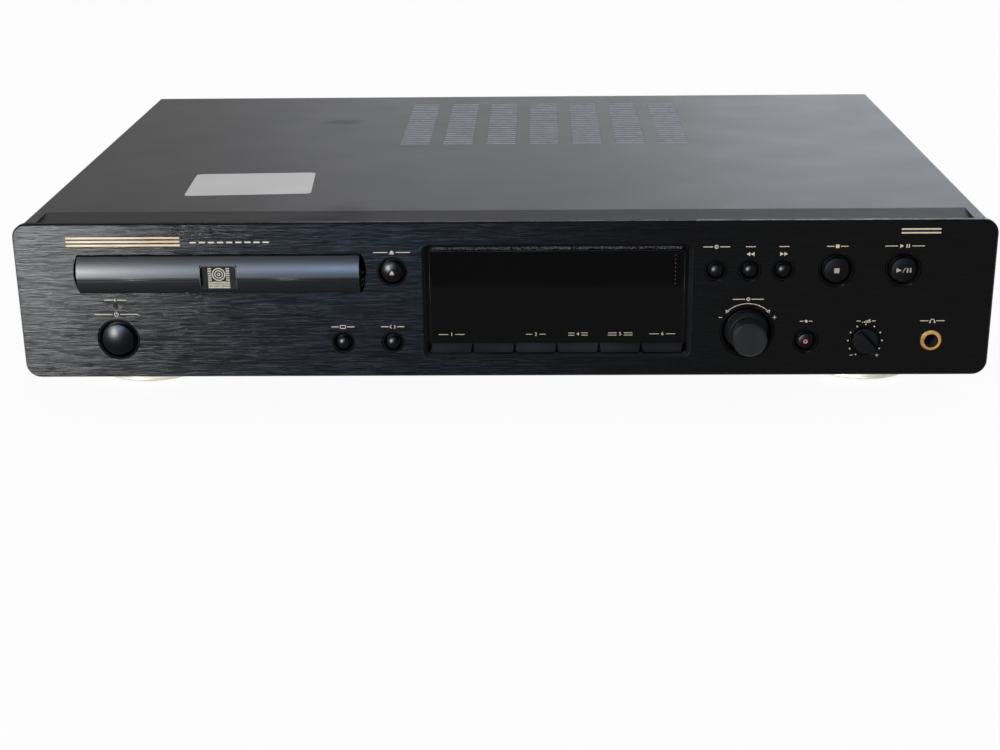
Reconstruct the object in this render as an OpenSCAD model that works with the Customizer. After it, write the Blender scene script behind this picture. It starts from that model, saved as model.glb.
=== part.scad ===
// Full-width hi-fi disc recorder with a loading tray, front keys, knobs and rear sockets.
// X runs to the right seen from the front, Y runs from the front panel to the rear, Z is up.
// Sizes are in millimetres. Inside the modules Y starts at the panel's face and Z at its lower edge.

/* [Casing] */
// Width of the front panel
panel_w = 440; // [400:1:480]
// Height of the front panel
panel_h = 72.8; // [72:0.2:76]
// Thickness of the front panel
panel_t = 3; // [2.5:0.1:4]
// Corner radius of the front panel
panel_corner_r = 6.5; // [4:0.5:10]
// Bevel along the front panel's edges
panel_bevel = 0.7; // [0.3:0.1:1]
// Distance from the panel's end to the side of the top cover
cover_inset = 4.6; // [4:0.1:7]
// Distance from the panel's face to the rear edge of the cover
case_d = 297; // [270:1:330]
// Sheet thickness of the cover
cover_t = 1; // [0.6:0.1:1.2]
// Outer bend radius along the cover's long edges
cover_bend_r = 1.5; // [1.5:0.5:3]
// Depth of the sloped band at the front of the cover
band_d = 18; // [12:1:18]
// Height that the band falls towards the panel
band_drop = 2.5; // [1:0.5:2.5]
// Width of the flat strip left beside each end of the band
band_side = 6; // [3:0.5:7]
// Height of the cover's rear lip
cover_lip_h = 10; // [8:1:12]
// Height of the chassis floor above the panel's lower edge
chassis_lift = 3; // [2:0.2:3]
// Sheet thickness of the chassis and the rear panel
chassis_t = 1.2; // [1:0.1:1.5]
// Height of the chassis side flanges above the floor
flange_h = 15; // [10:1:18]
// Gap between the cover and the sheets inside it
sheet_gap = 0.3; // [0.1:0.1:0.5]
// Depth of the rear panel's folded flanges
rear_flange_d = 9; // [6:1:10]

/* [Cover vents] */
// Number of slot groups
vent_groups = 7; // [1:1:7]
// Distance between slot groups
vent_group_pitch = 23.1; // [20:0.1:24]
// Centre of the middle slot group
vent_x = 19.4; // [10:0.1:30]
// Length of a slot
vent_slot_l = 16; // [10:0.5:18]
// Width of a slot
vent_slot_w = 1.8; // [1:0.1:2.5]
// Slots in a group
vent_rows = 22; // [1:1:22]
// Distance between slots
vent_row_pitch = 5.2; // [4:0.1:5.3]
// Distance from the last slot to the cover's rear edge
vent_rear_gap = 24.3; // [15:0.1:40]

/* [Feet] */
// Height of the panel's lower edge above the floor
foot_lift = 15; // [12:0.5:20]
// Radius of a foot with its ring
foot_r = 26; // [20:0.5:28]
// Thickness of the foot's metal ring
foot_ring_t = 1.9; // [1:0.1:3]
// Height of the foot's metal ring
foot_ring_h = 10; // [6:0.5:11]
// Thickness of the rubber pad below the foot
foot_pad_h = 1.5; // [1:0.1:2.5]
// Distance from the cover's side to the middle of a foot
foot_side = 42.4; // [35.9:0.5:60.9]
// Distance from the panel's face to the front feet
foot_front_y = 58; // [50:1:70]
// Distance from the rear feet to the cover's rear edge
foot_rear_gap = 47; // [35:1:70]

/* [Display window] */
// Distance from the tray button to the left edge of the window opening
window_left_gap = 13.3; // [12:0.1:14]
// Distance from the right edge of the window opening to the disc type button
window_right_gap = 10.3; // [9.5:0.1:11.5]
// Lower edge of the window opening
window_z0 = 9; // [8.5:0.1:9.5]
// Upper edge of the window opening
window_z1 = 62.5; // [60:0.1:63]
// Corner radius of the window opening
window_r = 3; // [2.5:0.1:4]
// Bevel of the window opening
window_bevel = 1.8; // [1:0.1:2]
// Ledge round the raised face of the window
lens_ledge = 1.4; // [1:0.1:2]
// Height that the window's face stands in front of its ledge
lens_raise = 1.5; // [0.5:0.1:2]
// Thickness of the window's ledge
lens_t = 2; // [1.5:0.1:2.5]
// Height of the row of keys below the window
key_h = 4.3; // [3:0.1:4.6]
// Number of keys below the window
key_count = 6; // [6:1:6]
// Gap between keys at their upper edge
key_gap_top = 0.6; // [0.4:0.1:1]
// Gap between keys at their lower edge
key_gap_foot = 1.9; // [1:0.1:2.5]
// Travel of a key
key_travel = 0.7; // [0.5:0.1:0.8]

/* [Buttons] */
// Height of the upper button row
upper_row_z = 50; // [48:0.5:51]
// Height of the lower button row
lower_row_z = 16.6; // [16:0.1:17]
// Distance from the cover's left side to the mains button
power_side = 39.4; // [37.4:0.5:41.4]
// Height of the mains button
power_z = 18.4; // [18:0.1:19]
// Radius of the mains button's hole
power_hole_r = 9.4; // [9:0.1:9.8]
// Radius of the mains button
power_cap_r = 7.1; // [7:0.1:8.2]
// Travel of the mains button
power_travel = 2.5; // [1.5:0.1:2.5]
// Distance from the cover's left side to the display button
display_side = 142.5; // [139.9:0.1:144.9]
// Distance from the cover's left side to the scroll button
scroll_side = 165.2; // [163.9:0.1:166.9]
// Distance from the cover's left side to the tray button
tray_button_side = 165.8; // [164.9:0.1:166.9]
// Radius of the tray button's hole
medium_hole_r = 6.5; // [6:0.1:7]
// Radius of the tray button
medium_cap_r = 4.6; // [4:0.1:5.2]
// Distance from the cover's right side to the disc type button
disc_type_side = 119.9; // [118.9:0.1:120.9]
// Distance from the cover's right side to the rewind button
rewind_side = 104.7; // [103.9:0.1:105.9]
// Distance from the cover's right side to the fast forward button
forward_side = 89.8; // [88.9:0.1:90.9]
// Radius of a small button's hole
small_hole_r = 4.9; // [4.5:0.1:5.2]
// Radius of a small button
small_cap_r = 2.6; // [2.5:0.1:3.3]
// Distance from the cover's right side to the stop button
stop_side = 66.2; // [64.9:0.1:67.9]
// Distance from the cover's right side to the play button
play_side = 36.4; // [34.9:0.1:37.9]
// Radius of a large button's hole
large_hole_r = 7.8; // [7.4:0.1:8.2]
// Radius of a large button
large_cap_r = 5.4; // [5:0.1:6.2]
// Distance from the cover's right side to the record button
record_side = 78.4; // [77.4:0.1:79.4]
// Radius of the record button's hole
record_hole_r = 5.6; // [5:0.1:5.8]
// Radius of the record button
record_cap_r = 3.2; // [3:0.1:3.8]
// Travel of the round buttons other than the mains button
button_travel = 1; // [0.6:0.1:1.2]
// Gap round a button in its guide
button_gap = 0.15; // [0.1:0.05:0.25]

/* [Knobs] */
// Distance from the cover's right side to the jog knob
jog_side = 104.9; // [103.4:0.1:105.9]
// Height of the jog knob
jog_z = 21; // [20:0.1:22]
// Radius of the jog knob's hole
jog_hole_r = 12; // [11:0.1:12]
// Radius of the jog knob where it leaves the panel
jog_base_r = 9.2; // [8:0.1:9.4]
// Radius of the jog knob's face
jog_face_r = 7.5; // [6:0.1:8]
// Distance that the jog knob stands in front of the panel
jog_proud = 13; // [8:0.5:16]
// Distance from the cover's right side to the level knob
level_side = 51.4; // [50.4:0.1:52.4]
// Radius of the level knob's hole
level_hole_r = 6.7; // [6.4:0.1:7]
// Radius of the level knob
level_r = 5.8; // [5:0.1:6]
// Distance that the level knob stands in front of the panel
level_proud = 6; // [4:0.5:8]
// Width of the level knob's grip
level_grip_w = 4.2; // [3:0.1:5]
// Angle of the level pointer, anticlockwise from the right
level_angle = 133; // [0:1:180]
// Radius of a control's shaft
shaft_r = 3; // [2:0.1:3]
// Radial gap of a shaft in its bearing
shaft_gap = 0.05; // [0.02:0.01:0.08]

/* [Headphone jack and lamp] */
// Distance from the cover's right side to the headphone jack
jack_side = 21.7; // [20.4:0.1:22.9]
// Bore radius of the headphone jack
jack_bore_r = 3.25; // [3.2:0.05:3.3]
// Radius of the headphone jack's rim
jack_rim_r = 4.8; // [4.5:0.1:5.5]
// Height of the jack's rim in front of the panel
jack_rim_h = 0.9; // [0.5:0.1:1.5]
// Depth of the jack's bore behind the panel's face
jack_depth = 28; // [26:1:32]
// Width of the headphone jack's body
jack_body_w = 14; // [12:0.5:14]
// Height of the standby lamp
lamp_z = 34.4; // [33:0.1:35.5]
// Radius of the standby lamp
lamp_r = 1; // [0.8:0.1:1.4]

/* [Disc tray] */
// Distance from the cover's left side to the tray's centre
tray_side = 87.9; // [87.9:0.5:88.4]
// Width of the tray
tray_w = 125; // [124:0.5:125.5]
// Width of the tray's door
door_w = 127; // [126:0.5:127.5]
// Lower edge of the door
door_z0 = 41; // [41:0.1:41.2]
// Upper edge of the door
door_z1 = 58; // [57:0.1:58]
// Distance that the door stands in front of the panel
door_proud = 6; // [5:0.5:8]
// Height of the door's bulge over its edges
door_bulge = 4.2; // [3:0.1:5]
// Gap between the door and the panel above and below
door_gap = 0.5; // [0.3:0.1:0.6]
// Bow of the panel opening's ends
cutout_bow = 2.2; // [1.5:0.1:2.5]
// Gap between the door and the middle of the opening's ends
cutout_end_gap = 2.8; // [2.6:0.1:3]
// Distance that the tray slides out
tray_travel = 138; // [125:1:138]
// Underside of the tray
tray_z = 46; // [45.8:0.1:46.2]
// Height of the tray's rim above its underside
tray_h = 9.5; // [9:0.5:10]
// Distance from the panel's face to the disc's centre
disc_y = 74; // [72:1:75]
// Radius of the large disc recess
disc_r = 60.5; // [60.2:0.1:60.8]
// Radius of the small disc recess
small_disc_r = 40.5; // [40.2:0.1:41]
// Height of the disc's seat above the tray's underside
seat_h = 5; // [4.5:0.1:5.5]
// Half the width of the slot in the tray
slot_r = 18; // [17:0.5:19]
// Distance from the panel's face to the tray's rear end
tray_end_y = 205; // [200:1:205]
// Thickness of the tray's floor
tray_floor_t = 2; // [1.5:0.1:2.5]
// Face of the badge plate in the door: width
badge_w = 16.4; // [10:0.1:17]
// Face of the badge plate in the door: height
badge_h = 11.2; // [8:0.1:12]
// Depth of the badge plate below the top of the bulge
badge_depth = 2; // [1:0.1:2]
// Distance of the badge plate to the left of the door's middle
badge_shift = -0.3; // [-5:0.1:5]

/* [Loading drive] */
// Module of the rack and its pinion
rack_module = 1; // [1:0.1:1]
// Teeth of the rack pinion
rack_pinion_teeth = 20; // [20:1:20]
// Height of the rack
rack_h = 4.4; // [3.5:0.1:4.5]
// Distance from the tray's centre to the rack's pitch line
rack_dx = 47.5; // [46:0.5:48]
// Distance from the panel's face to the large gear
gear_y = 44; // [43:1:46]
// Module of the large gear and its pinion
gear_module = 0.8; // [0.8:0.1:0.8]
// Teeth of the large gear
gear_teeth = 50; // [50:1:50]
// Teeth of the small pinion on the belt wheel
belt_pinion_teeth = 12; // [12:1:12]
// Thickness of the large gear
gear_t = 3.5; // [2.5:0.1:3.5]
// Angle from the large gear's centre to the belt wheel's
belt_wheel_angle = 200; // [195:1:205]
// Groove radius of the belt wheel
belt_wheel_r = 11; // [9:0.5:11]
// Groove radius of the motor pulley
motor_pulley_r = 3; // [2.5:0.1:3.5]
// Distance from the tray's centre to the loading motor
motor_dx = 12.5; // [8:0.5:14]
// Radius of the loading motor
motor_r = 12; // [10:0.5:13]
// Length of the loading motor
motor_l = 19; // [15:0.5:21]
// Thickness of the square belt
belt_t = 1.2; // [0.8:0.1:1.2]

/* [Loader frame] */
// Width of the loader frame's base plate
loader_w = 163; // [160:1:164]
// Underside of the base plate
loader_z = 28; // [27.8:0.1:28.2]
// Thickness of the base plate and the rails
loader_t = 2; // [1.8:0.1:2.2]
// Distance from the panel's face to the front of the loader frame
loader_y0 = 22; // [21:0.5:22]
// Distance from the panel's face to the rear of the loader frame
loader_y1 = 207; // [206:0.5:209]
// Height of the rails' upper edge
rail_z1 = 62; // [61:0.5:63]
// Gap between the tray and its rails
tray_gap = 0.5; // [0.3:0.1:0.6]
// Width of the strap over the disc's centre
bridge_d = 48; // [40:1:56]
// Sheet thickness of the strap
bridge_t = 1.2; // [1:0.1:1.5]
// Radius of the clamp disc
clamp_r = 15; // [13:0.5:16]
// Lift of the clamp disc
clamp_lift = 1.2; // [0.8:0.1:1.5]

/* [Player deck] */
// Width of the deck
deck_w = 68; // [68:1:70]
// Underside of the deck
deck_z = 33; // [32.6:0.1:33.2]
// Thickness of the deck
deck_t = 2; // [1.8:0.1:2.2]
// Distance from the disc's centre to the front of the deck
deck_front = 20; // [18:0.5:20]
// Distance from the panel's face to the rear of the deck
deck_y1 = 195; // [190:1:196]
// Distance from the panel's face to the deck's pivot
pivot_y = 188; // [184:1:188]
// Radius of the deck's pivot pins
pivot_r = 2; // [1.5:0.1:2.2]
// Radius of the platter
platter_r = 15; // [13:0.5:16]
// Upper face of the platter above the tray's underside
platter_h = 7.5; // [7:0.1:7.8]
// Radius of the spindle motor
spindle_motor_r = 12; // [10:0.5:13]
// Radius of the guide rods
rod_r = 1.5; // [1:0.1:1.8]
// Height of the rods and the lead screw above the deck
rod_h = 5.2; // [5:0.1:5.4]
// Distance from the deck's centre to the left rod
left_rod_dx = 26.5; // [25:0.5:28]
// Distance from the deck's centre to the right rod
right_rod_dx = 19.5; // [18:0.5:20]
// Distance from the deck's centre to the lead screw
screw_dx = 28; // [27.5:0.5:28.5]
// Root radius of the lead screw
screw_r = 1.5; // [1.2:0.1:1.6]
// Height of the lead screw's thread
thread_h = 0.35; // [0.2:0.05:0.4]
// Lead of the screw
screw_lead = 6; // [4:1:8]
// Distance from the spindle to the lens at the disc's inner track
lens_inner = 24; // [24:0.5:26]
// Travel of the pickup
pickup_travel = 35; // [30:1:35]
// Length of the pickup behind its lens
pickup_back = 25; // [20:1:25]
// Radius of the lens
lens_r = 3.2; // [2.5:0.1:4]

/* [Circuit boards] */
// Thickness of the circuit boards
board_t = 1.6; // [1.2:0.1:1.6]
// Distance from the panel's face to the front board
front_board_y = 16; // [15.5:0.5:18]
// Height of the boards' stand-offs on the chassis floor
standoff_h = 8; // [6:0.5:9]
// Gap between the loader frame and the main board
main_gap = 10; // [8:0.5:16]
// Gap between the main board and the chassis side
main_side_gap = 8.1; // [6.9:0.1:12.9]
// Distance from the panel's face to the front of the main board
main_y0 = 34; // [33:1:40]
// Gap between the main board and the rear panel
main_rear_gap = 6.6; // [5.6:0.1:7.6]
// Gap between the transformer and the power board
power_board_gap = 7; // [6:0.5:10]
// Gap between the power board and the main board
board_gap = 8; // [7:0.5:14]
// Gap between the loader frame and the power board, seen from above
power_board_rear_gap = 9; // [7:0.5:13]
// Gap between the chassis side and the transformer
transformer_side = 11.1; // [6.9:0.1:12.9]
// Width of the transformer's core
transformer_w = 58; // [50:1:60]
// Depth of the transformer's core
transformer_d = 26; // [20:1:30]
// Height of the transformer
transformer_h = 48; // [40:1:55]

/* [Rear sockets] */
// Radius of a phono socket's sleeve
phono_r = 4.15; // [4:0.05:4.25]
// Length of a phono socket's sleeve behind the rear panel
phono_l = 10; // [8:0.5:12]
// Height of the lower socket row
socket_z = 24; // [23:0.5:26]
// Distance between the socket rows
socket_pitch = 18; // [17:0.5:20]
// Distance from the cover's right side to the control socket column
control_socket_side = 195.4; // [190.9:0.5:199.9]
// Distance from the cover's right side to the coaxial socket column
coaxial_side = 155.4; // [150.9:0.5:160.9]
// Distance from the cover's right side to the optical socket column
optical_side = 130.4; // [124.9:0.5:133.9]
// Distance from the cover's right side to the line input column
line_in_side = 95.4; // [89.9:0.5:100.9]
// Distance from the cover's right side to the line output column
line_out_side = 65.4; // [59.9:0.5:70.9]
// Distance from the cover's left side to the mains inlet
inlet_side = 35.4; // [29.9:0.5:39.9]
// Height of the mains inlet
inlet_z = 30; // [28:1:34]
// Distance of the inlet's pins from its middle
inlet_pin_dx = 4.3; // [4.2:0.1:4.4]
// Depth of the inlet's recess
inlet_depth = 11; // [9:0.5:11]

/* [Screws] */
// Shank radius of the cover screws
screw_shank_r = 1.5; // [1.2:0.1:1.8]
// Head radius of the cover screws
screw_head_r = 3.6; // [3:0.1:4]
// Head height of the cover screws
screw_head_h = 2.2; // [1.5:0.1:2.5]
// Radial gap of a screw in its holes
screw_gap = 0.1; // [0.05:0.05:0.2]

/* [Hidden] */
$fn = 64;

// A cut runs this far past the face that it opens
eps = 0.5;

// Casing
rear_face_y = case_d - cover_t - 0.2;
rear_inner_y = rear_face_y - chassis_t;
rear_end_y = rear_face_y + phono_l;
mid_y = (rear_end_y - jog_proud) / 2;
cover_half = panel_w / 2 - cover_inset;
cover_inner_half = cover_half - cover_t;
cover_inner_z = panel_h - cover_t;
cover_front_y = panel_t + 0.3;
band_y = cover_front_y + band_d;
band_half = cover_half - band_side;
chassis_half = cover_inner_half - sheet_gap;
chassis_top = chassis_lift + chassis_t;
sheet_top = cover_inner_z - sheet_gap;
vent_y = case_d - vent_rear_gap - (vent_rows - 1) * vent_row_pitch;
foot_x = cover_half - foot_side;
foot_rear_y = case_d - foot_rear_gap;

// Places of the pieces on the front, from the cover's sides
power_x = power_side - cover_half;
display_x = display_side - cover_half;
scroll_x = scroll_side - cover_half;
tray_button_x = tray_button_side - cover_half;
tray_x = tray_side - cover_half;
disc_type_x = cover_half - disc_type_side;
rewind_x = cover_half - rewind_side;
forward_x = cover_half - forward_side;
stop_x = cover_half - stop_side;
play_x = cover_half - play_side;
record_x = cover_half - record_side;
jog_x = cover_half - jog_side;
level_x = cover_half - level_side;
jack_x = cover_half - jack_side;
window_x0 = tray_button_x + window_left_gap;
window_x1 = disc_type_x - window_right_gap;

// Front frame behind the panel
frame_t = 2;
frame_y = panel_t + frame_t;
frame_half = chassis_half - 1.2;
frame_z1 = cover_inner_z - band_drop - 0.3;
sleeve_y = frame_y + 2.2;
collar_y = sleeve_y + 0.3;
switch_h = 4;
switch_y = front_board_y - switch_h;
mains_switch_y = 25;
stem_y = switch_y - button_travel - 0.1;
well_y = 0.4;
well_floor_y = panel_t - 0.5;

// Keys below the window
key_row_x0 = window_x0 + window_bevel + lens_ledge;
key_row_x1 = window_x1 - window_bevel - lens_ledge;
key_pitch = (key_row_x1 - key_row_x0) / key_count;
key_z0 = window_z0 + window_bevel + 0.4;
key_z1 = key_z0 + key_h;
key_y = 0.8;
key_back_y = frame_y + 1;
key_rail_y = key_back_y + 1;
key_rail_t = 2;
key_stem_w = 6;
key_stem_h = 2.4;
key_stem_z = (key_z0 + key_z1) / 2;
lens_z0 = key_z1 + 0.3;

// Tray opening in the panel
cutout_z0 = door_z0 - door_gap;
cutout_z1 = door_z1 + door_gap;
cutout_h = cutout_z1 - cutout_z0;
cutout_half = door_w / 2 + cutout_end_gap;
cutout_r = cutout_h * cutout_h / (8 * cutout_bow) + cutout_bow / 2;
cutout_z = (cutout_z0 + cutout_z1) / 2;

// Door and tray
door_h = door_z1 - door_z0;
door_z = (door_z0 + door_z1) / 2;
door_r = door_h * door_h / (8 * door_bulge) + door_bulge / 2;
door_back_y = 1.2;
badge_x = tray_x - badge_shift;
badge_y = badge_depth - door_proud;
badge_t = 0.8;
seat_z = tray_z + seat_h;
small_seat_z = seat_z - 1;
tray_rim_z = tray_z + tray_h;
tray_half = tray_w / 2;
platter_z = tray_z + platter_h;

// Loading drive
rack_pitch_r = rack_module * rack_pinion_teeth / 2;
rack_x = tray_x + rack_dx;
gear_x = rack_x + rack_pitch_r;
gear_pitch_r = gear_module * gear_teeth / 2;
belt_pinion_r = gear_module * belt_pinion_teeth / 2;
gear_distance = gear_pitch_r + belt_pinion_r;
belt_wheel_x = gear_x + gear_distance * cos(belt_wheel_angle);
belt_wheel_y = gear_y + gear_distance * sin(belt_wheel_angle);
loader_top = loader_z + loader_t;
belt_wheel_h = 4;
wheel_z = loader_top + 1;
gear_z = wheel_z + belt_wheel_h + 1;
rack_z = tray_z - rack_h;
pinion_z1 = tray_z - 0.4;
tooth_slack = 0.25;
belt_pinion_phase = belt_wheel_angle * (1 + gear_teeth / belt_pinion_teeth) + 180
  + 180 / belt_pinion_teeth;
axle_r = 2.5;
wheel_axle_r = 2;
axle_gap = 0.05;
motor_x = tray_x - motor_dx;
motor_y = belt_wheel_y;
motor_shaft_r = 1;
belt_z = wheel_z + belt_wheel_h / 2;
belt_gap = 0.25;

// Loader frame
loader_half = loader_w / 2;
rail_x = tray_half + tray_gap;
shelf_w = 3;
bay_half = deck_w / 2 + 3.5;
bay_y0 = disc_y - deck_front - 3;
bay_y1 = deck_y1 + 2;
leg_r = 5;
leg_inset = 6;
lug_t = 4;

// Player deck
deck_top = deck_z + deck_t;
deck_half = deck_w / 2;
deck_y0 = disc_y - deck_front;
pivot_z = deck_z + deck_t / 2;
rod_z = deck_top + rod_h;
rod_y0 = disc_y + platter_r - 2;
lens_y = disc_y + lens_inner;
pickup_front = 7;
pickup_y0 = lens_y - pickup_front;
pickup_y1 = lens_y + pickup_back;
rod_y1 = pickup_y1 + pickup_travel + 5;
post_t = 3;
pickup_z0 = deck_top + 1.5;
pickup_z1 = tray_z - 1.5;
tower_half = 13;
tower_z = platter_z - 4.5;
focus_travel = 0.5;
hub_r = 7.4;
hub_h = 2;
clamp_z = platter_z + 0.5;
bridge_z = rail_z1;
bridge_hole_r = 11;
sled_motor_r = rod_h - 0.1;
sled_motor_y0 = deck_y0 + 6;

// Circuit boards
board_z = chassis_top + standoff_h;
board_top = board_z + board_t;
standoff_r = 3;
main_x0 = tray_x + loader_half + main_gap;
main_x1 = chassis_half - main_side_gap;
main_y1 = rear_inner_y - main_rear_gap;
transformer_x = transformer_side + transformer_w / 2 - chassis_half;
power_board_x0 = transformer_x + transformer_w / 2 + power_board_gap;
power_board_x1 = main_x0 - board_gap;
power_board_y0 = loader_y1 + power_board_rear_gap;
power_board_y1 = main_y1;
tall_can_r = 9;
tall_can_h = 32;
low_can_r = 5;
low_can_h = 16;
little_can_r = 4;
little_can_h = 11;
can_gap = 3;
chip_h = 2.2;
heatsink_h = 34;
heatsink_t = 3;
fin_l = 8;
fin_t = 1.5;
fin_pitch = 8;
fin_count = 5;
cable_t = 0.6;
cable_plug = 4;
cable_top_z = 40;
wide_cable_w = 22;
cable_w = 16;
loader_cable_w = 18;
loader_cable_y = 150;
loader_plug_x = 12;

// Rear sockets
socket_rows = [socket_z, socket_z + socket_pitch];
control_socket_x = cover_half - control_socket_side;
coaxial_x = cover_half - coaxial_side;
optical_x = cover_half - optical_side;
line_in_x = cover_half - line_in_side;
line_out_x = cover_half - line_out_side;
phono_columns = [control_socket_x, coaxial_x, line_in_x, line_out_x];
inlet_x = inlet_side - cover_half;
phono_hole_r = phono_r + 0.25;
nose_half_w = 5;
nose_half_h = 4.5;
nose_proud = 1.5;
inlet_half_w = 9.8;
inlet_half_h = 6.8;
inlet_proud = 2.5;
mouth_y = rear_face_y + inlet_proud;
inlet_front_y = mouth_y - inlet_depth - 3;
// The transformer stands midway between the loader frame and the mains inlet
transformer_y = (loader_y1 + inlet_front_y) / 2;

// Cap sizes and places of the round buttons: place, height, hole radius, cap radius
power_spot = [power_x, power_z, power_hole_r, power_cap_r];
tray_spot = [tray_button_x, upper_row_z, medium_hole_r, medium_cap_r];
display_spot = [display_x, lower_row_z, small_hole_r, small_cap_r];
scroll_spot = [scroll_x, lower_row_z, small_hole_r, small_cap_r];
disc_type_spot = [disc_type_x, upper_row_z, small_hole_r, small_cap_r];
rewind_spot = [rewind_x, upper_row_z, small_hole_r, small_cap_r];
forward_spot = [forward_x, upper_row_z, small_hole_r, small_cap_r];
stop_spot = [stop_x, upper_row_z, large_hole_r, large_cap_r];
play_spot = [play_x, upper_row_z, large_hole_r, large_cap_r];
record_spot = [record_x, lower_row_z, record_hole_r, record_cap_r];
small_spots = [
  tray_spot, display_spot, scroll_spot, disc_type_spot, rewind_spot, forward_spot,
  stop_spot, play_spot, record_spot,
];
button_spots = concat([power_spot], small_spots);
knob_spots = [
  [jog_x, jog_z, jog_hole_r, jog_base_r],
  [level_x, lower_row_z, level_hole_r, level_r],
];
foot_spots = [for (sx = [-1, 1], y = [foot_front_y, foot_rear_y]) [sx * foot_x, y]];
side_screw_ys = [60, case_d - 40];
side_screw_z = chassis_lift + 9;
rear_screw_xs = [-150, 0, 150];
rear_screw_z = panel_h - cover_lip_h / 2;

// Helpers

// Moves a piece from the panel's own axes to the part's origin on the floor
module placed() translate([0, -mid_y, foot_lift]) children();

// Box from one corner to the other
module block(x0, x1, y0, y1, z0, z1) translate([x0, y0, z0]) cube([x1 - x0, y1 - y0, z1 - z0]);

// Round bar along Y
module bar_y(x, z, y0, y1, r0, r1 = undef)
  translate([x, y0, z]) rotate([-90, 0, 0])
    cylinder(r1 = r0, r2 = is_undef(r1) ? r0 : r1, h = y1 - y0);

// Round bar along X
module bar_x(y, z, x0, x1, r) translate([x0, y, z]) rotate([0, 90, 0]) cylinder(r = r, h = x1 - x0);

// Round bar along Z
module bar_z(x, y, z0, z1, r) translate([x, y, z0]) cylinder(r = r, h = z1 - z0);

// Turns a half profile, drawn as radius and depth, about an axis along Y
module turned_y(x, z) translate([x, 0, z]) rotate([-90, 0, 0]) rotate_extrude() children();

// Rectangle with round corners, drawn in X and Z and thick along Y
module rounded_plate(x0, x1, z0, z1, r, y0, y1)
  translate([0, y1, 0]) rotate([90, 0, 0]) linear_extrude(y1 - y0) {
    translate([x0 + r, z0]) square([x1 - x0 - 2 * r, z1 - z0]);
    translate([x0, z0 + r]) square([x1 - x0, z1 - z0 - 2 * r]);
    for (x = [x0 + r, x1 - r], z = [z0 + r, z1 - r]) translate([x, z]) circle(r);
  }

// Corner posts for a bevelled plate, blended by a hull
module plate_corners(x0, x1, z0, z1, r, y0, y1)
  for (x = [x0 + r, x1 - r], z = [z0 + r, z1 - r])
    bar_y(x, z, y0, y1, r, $fn = 32);

// Point of an involute at a radius, with the half angle that the tooth fills there
function involute_angle(base_r, r) = let (a = acos(min(1, base_r / r))) tan(a) * 180 / PI - a;

// Outline of a spur gear with one tooth centred on the X axis
function gear_points(m, teeth, slack) =
  let (
    pitch_r = m * teeth / 2,
    base_r = pitch_r * cos(20),
    root_r = pitch_r - 1.3 * m,
    tip_r = pitch_r + 0.85 * m,
    half = 90 / teeth - slack / 2 / pitch_r * 180 / PI + involute_angle(base_r, pitch_r),
    start_r = max(base_r, root_r),
    radii = [for (k = [0:4]) start_r + (tip_r - start_r) * k / 4]
  )
  [for (i = [0:teeth - 1])
    let (mid = i * 360 / teeth)
    each concat(
      [polar(root_r, mid - half)],
      [for (r = radii) polar(r, mid - half + involute_angle(base_r, r))],
      [for (k = [4:-1:0]) polar(radii[k], mid + half - involute_angle(base_r, radii[k]))],
      [polar(root_r, mid + half)]
    )];
function polar(r, a) = [r * cos(a), r * sin(a)];

module spur_gear(m, teeth, t) linear_extrude(t) polygon(gear_points(m, teeth, tooth_slack));

// Straight rack along Y whose teeth point to +X, with a gap at the given place
module rack(y0, y1, gap_y, z0, z1) {
  pitch = PI * rack_module;
  half = pitch / 4 - tooth_slack / 2;
  tip = 0.85 * rack_module;
  root = 1.3 * rack_module;
  back = 4;
  first = ceil((y0 - gap_y) / pitch) + 0.5;
  last = floor((y1 - gap_y) / pitch) - 0.5;
  translate([rack_x, 0, z0]) linear_extrude(z1 - z0) {
    translate([-root - back, y0]) square([back, y1 - y0]);
    for (k = [first:1:last]) translate([0, gap_y + k * pitch])
      polygon([
        [-root - 0.1, -half - root * tan(20)], [tip, -half + tip * tan(20)],
        [tip, half - tip * tan(20)], [-root - 0.1, half + root * tan(20)],
      ]);
  }
}

// Casing

module tray_cutout(y0, y1, grow = 0)
  translate([tray_x, y1, cutout_z]) rotate([90, 0, 0]) linear_extrude(y1 - y0)
    intersection() {
      square([2 * (cutout_half + grow), cutout_h + 2 * grow], center = true);
      union() {
        square([2 * (cutout_half - cutout_r), cutout_h + 2 * grow], center = true);
        for (s = [-1, 1]) translate([s * (cutout_half - cutout_r), 0]) circle(cutout_r + grow);
      }
    }

module front_panel() placed() color("#232528") difference() {
  hull() {
    plate_corners(
      -panel_w / 2 + panel_bevel, panel_w / 2 - panel_bevel, panel_bevel, panel_h - panel_bevel,
      panel_corner_r - panel_bevel, 0, panel_t
    );
    plate_corners(-panel_w / 2, panel_w / 2, 0, panel_h, panel_corner_r, panel_bevel, panel_t);
  }
  tray_cutout(-eps, panel_t + eps);
  hull() {
    plate_corners(window_x0, window_x1, window_z0, window_z1, window_r, -eps, 0);
    plate_corners(
      window_x0 + window_bevel, window_x1 - window_bevel, window_z0 + window_bevel,
      window_z1 - window_bevel, window_r - window_bevel + 0.5, 0, window_bevel
    );
  }
  rounded_plate(
    window_x0 + window_bevel, window_x1 - window_bevel, window_z0 + window_bevel,
    window_z1 - window_bevel, window_r - window_bevel + 0.5, 0, panel_t + eps
  );
  for (s = concat(button_spots, knob_spots)) {
    bar_y(s[0], s[1], -eps, panel_t + eps, s[2]);
    bar_y(s[0], s[1], -0.01, 0.34, s[2] + 0.35, s[2]);
  }
  bar_y(jack_x, lower_row_z, -eps, panel_t + eps, jack_rim_r - 0.4);
  bar_y(power_x, lamp_z, -eps, panel_t + eps, lamp_r + 0.1);
}

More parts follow.
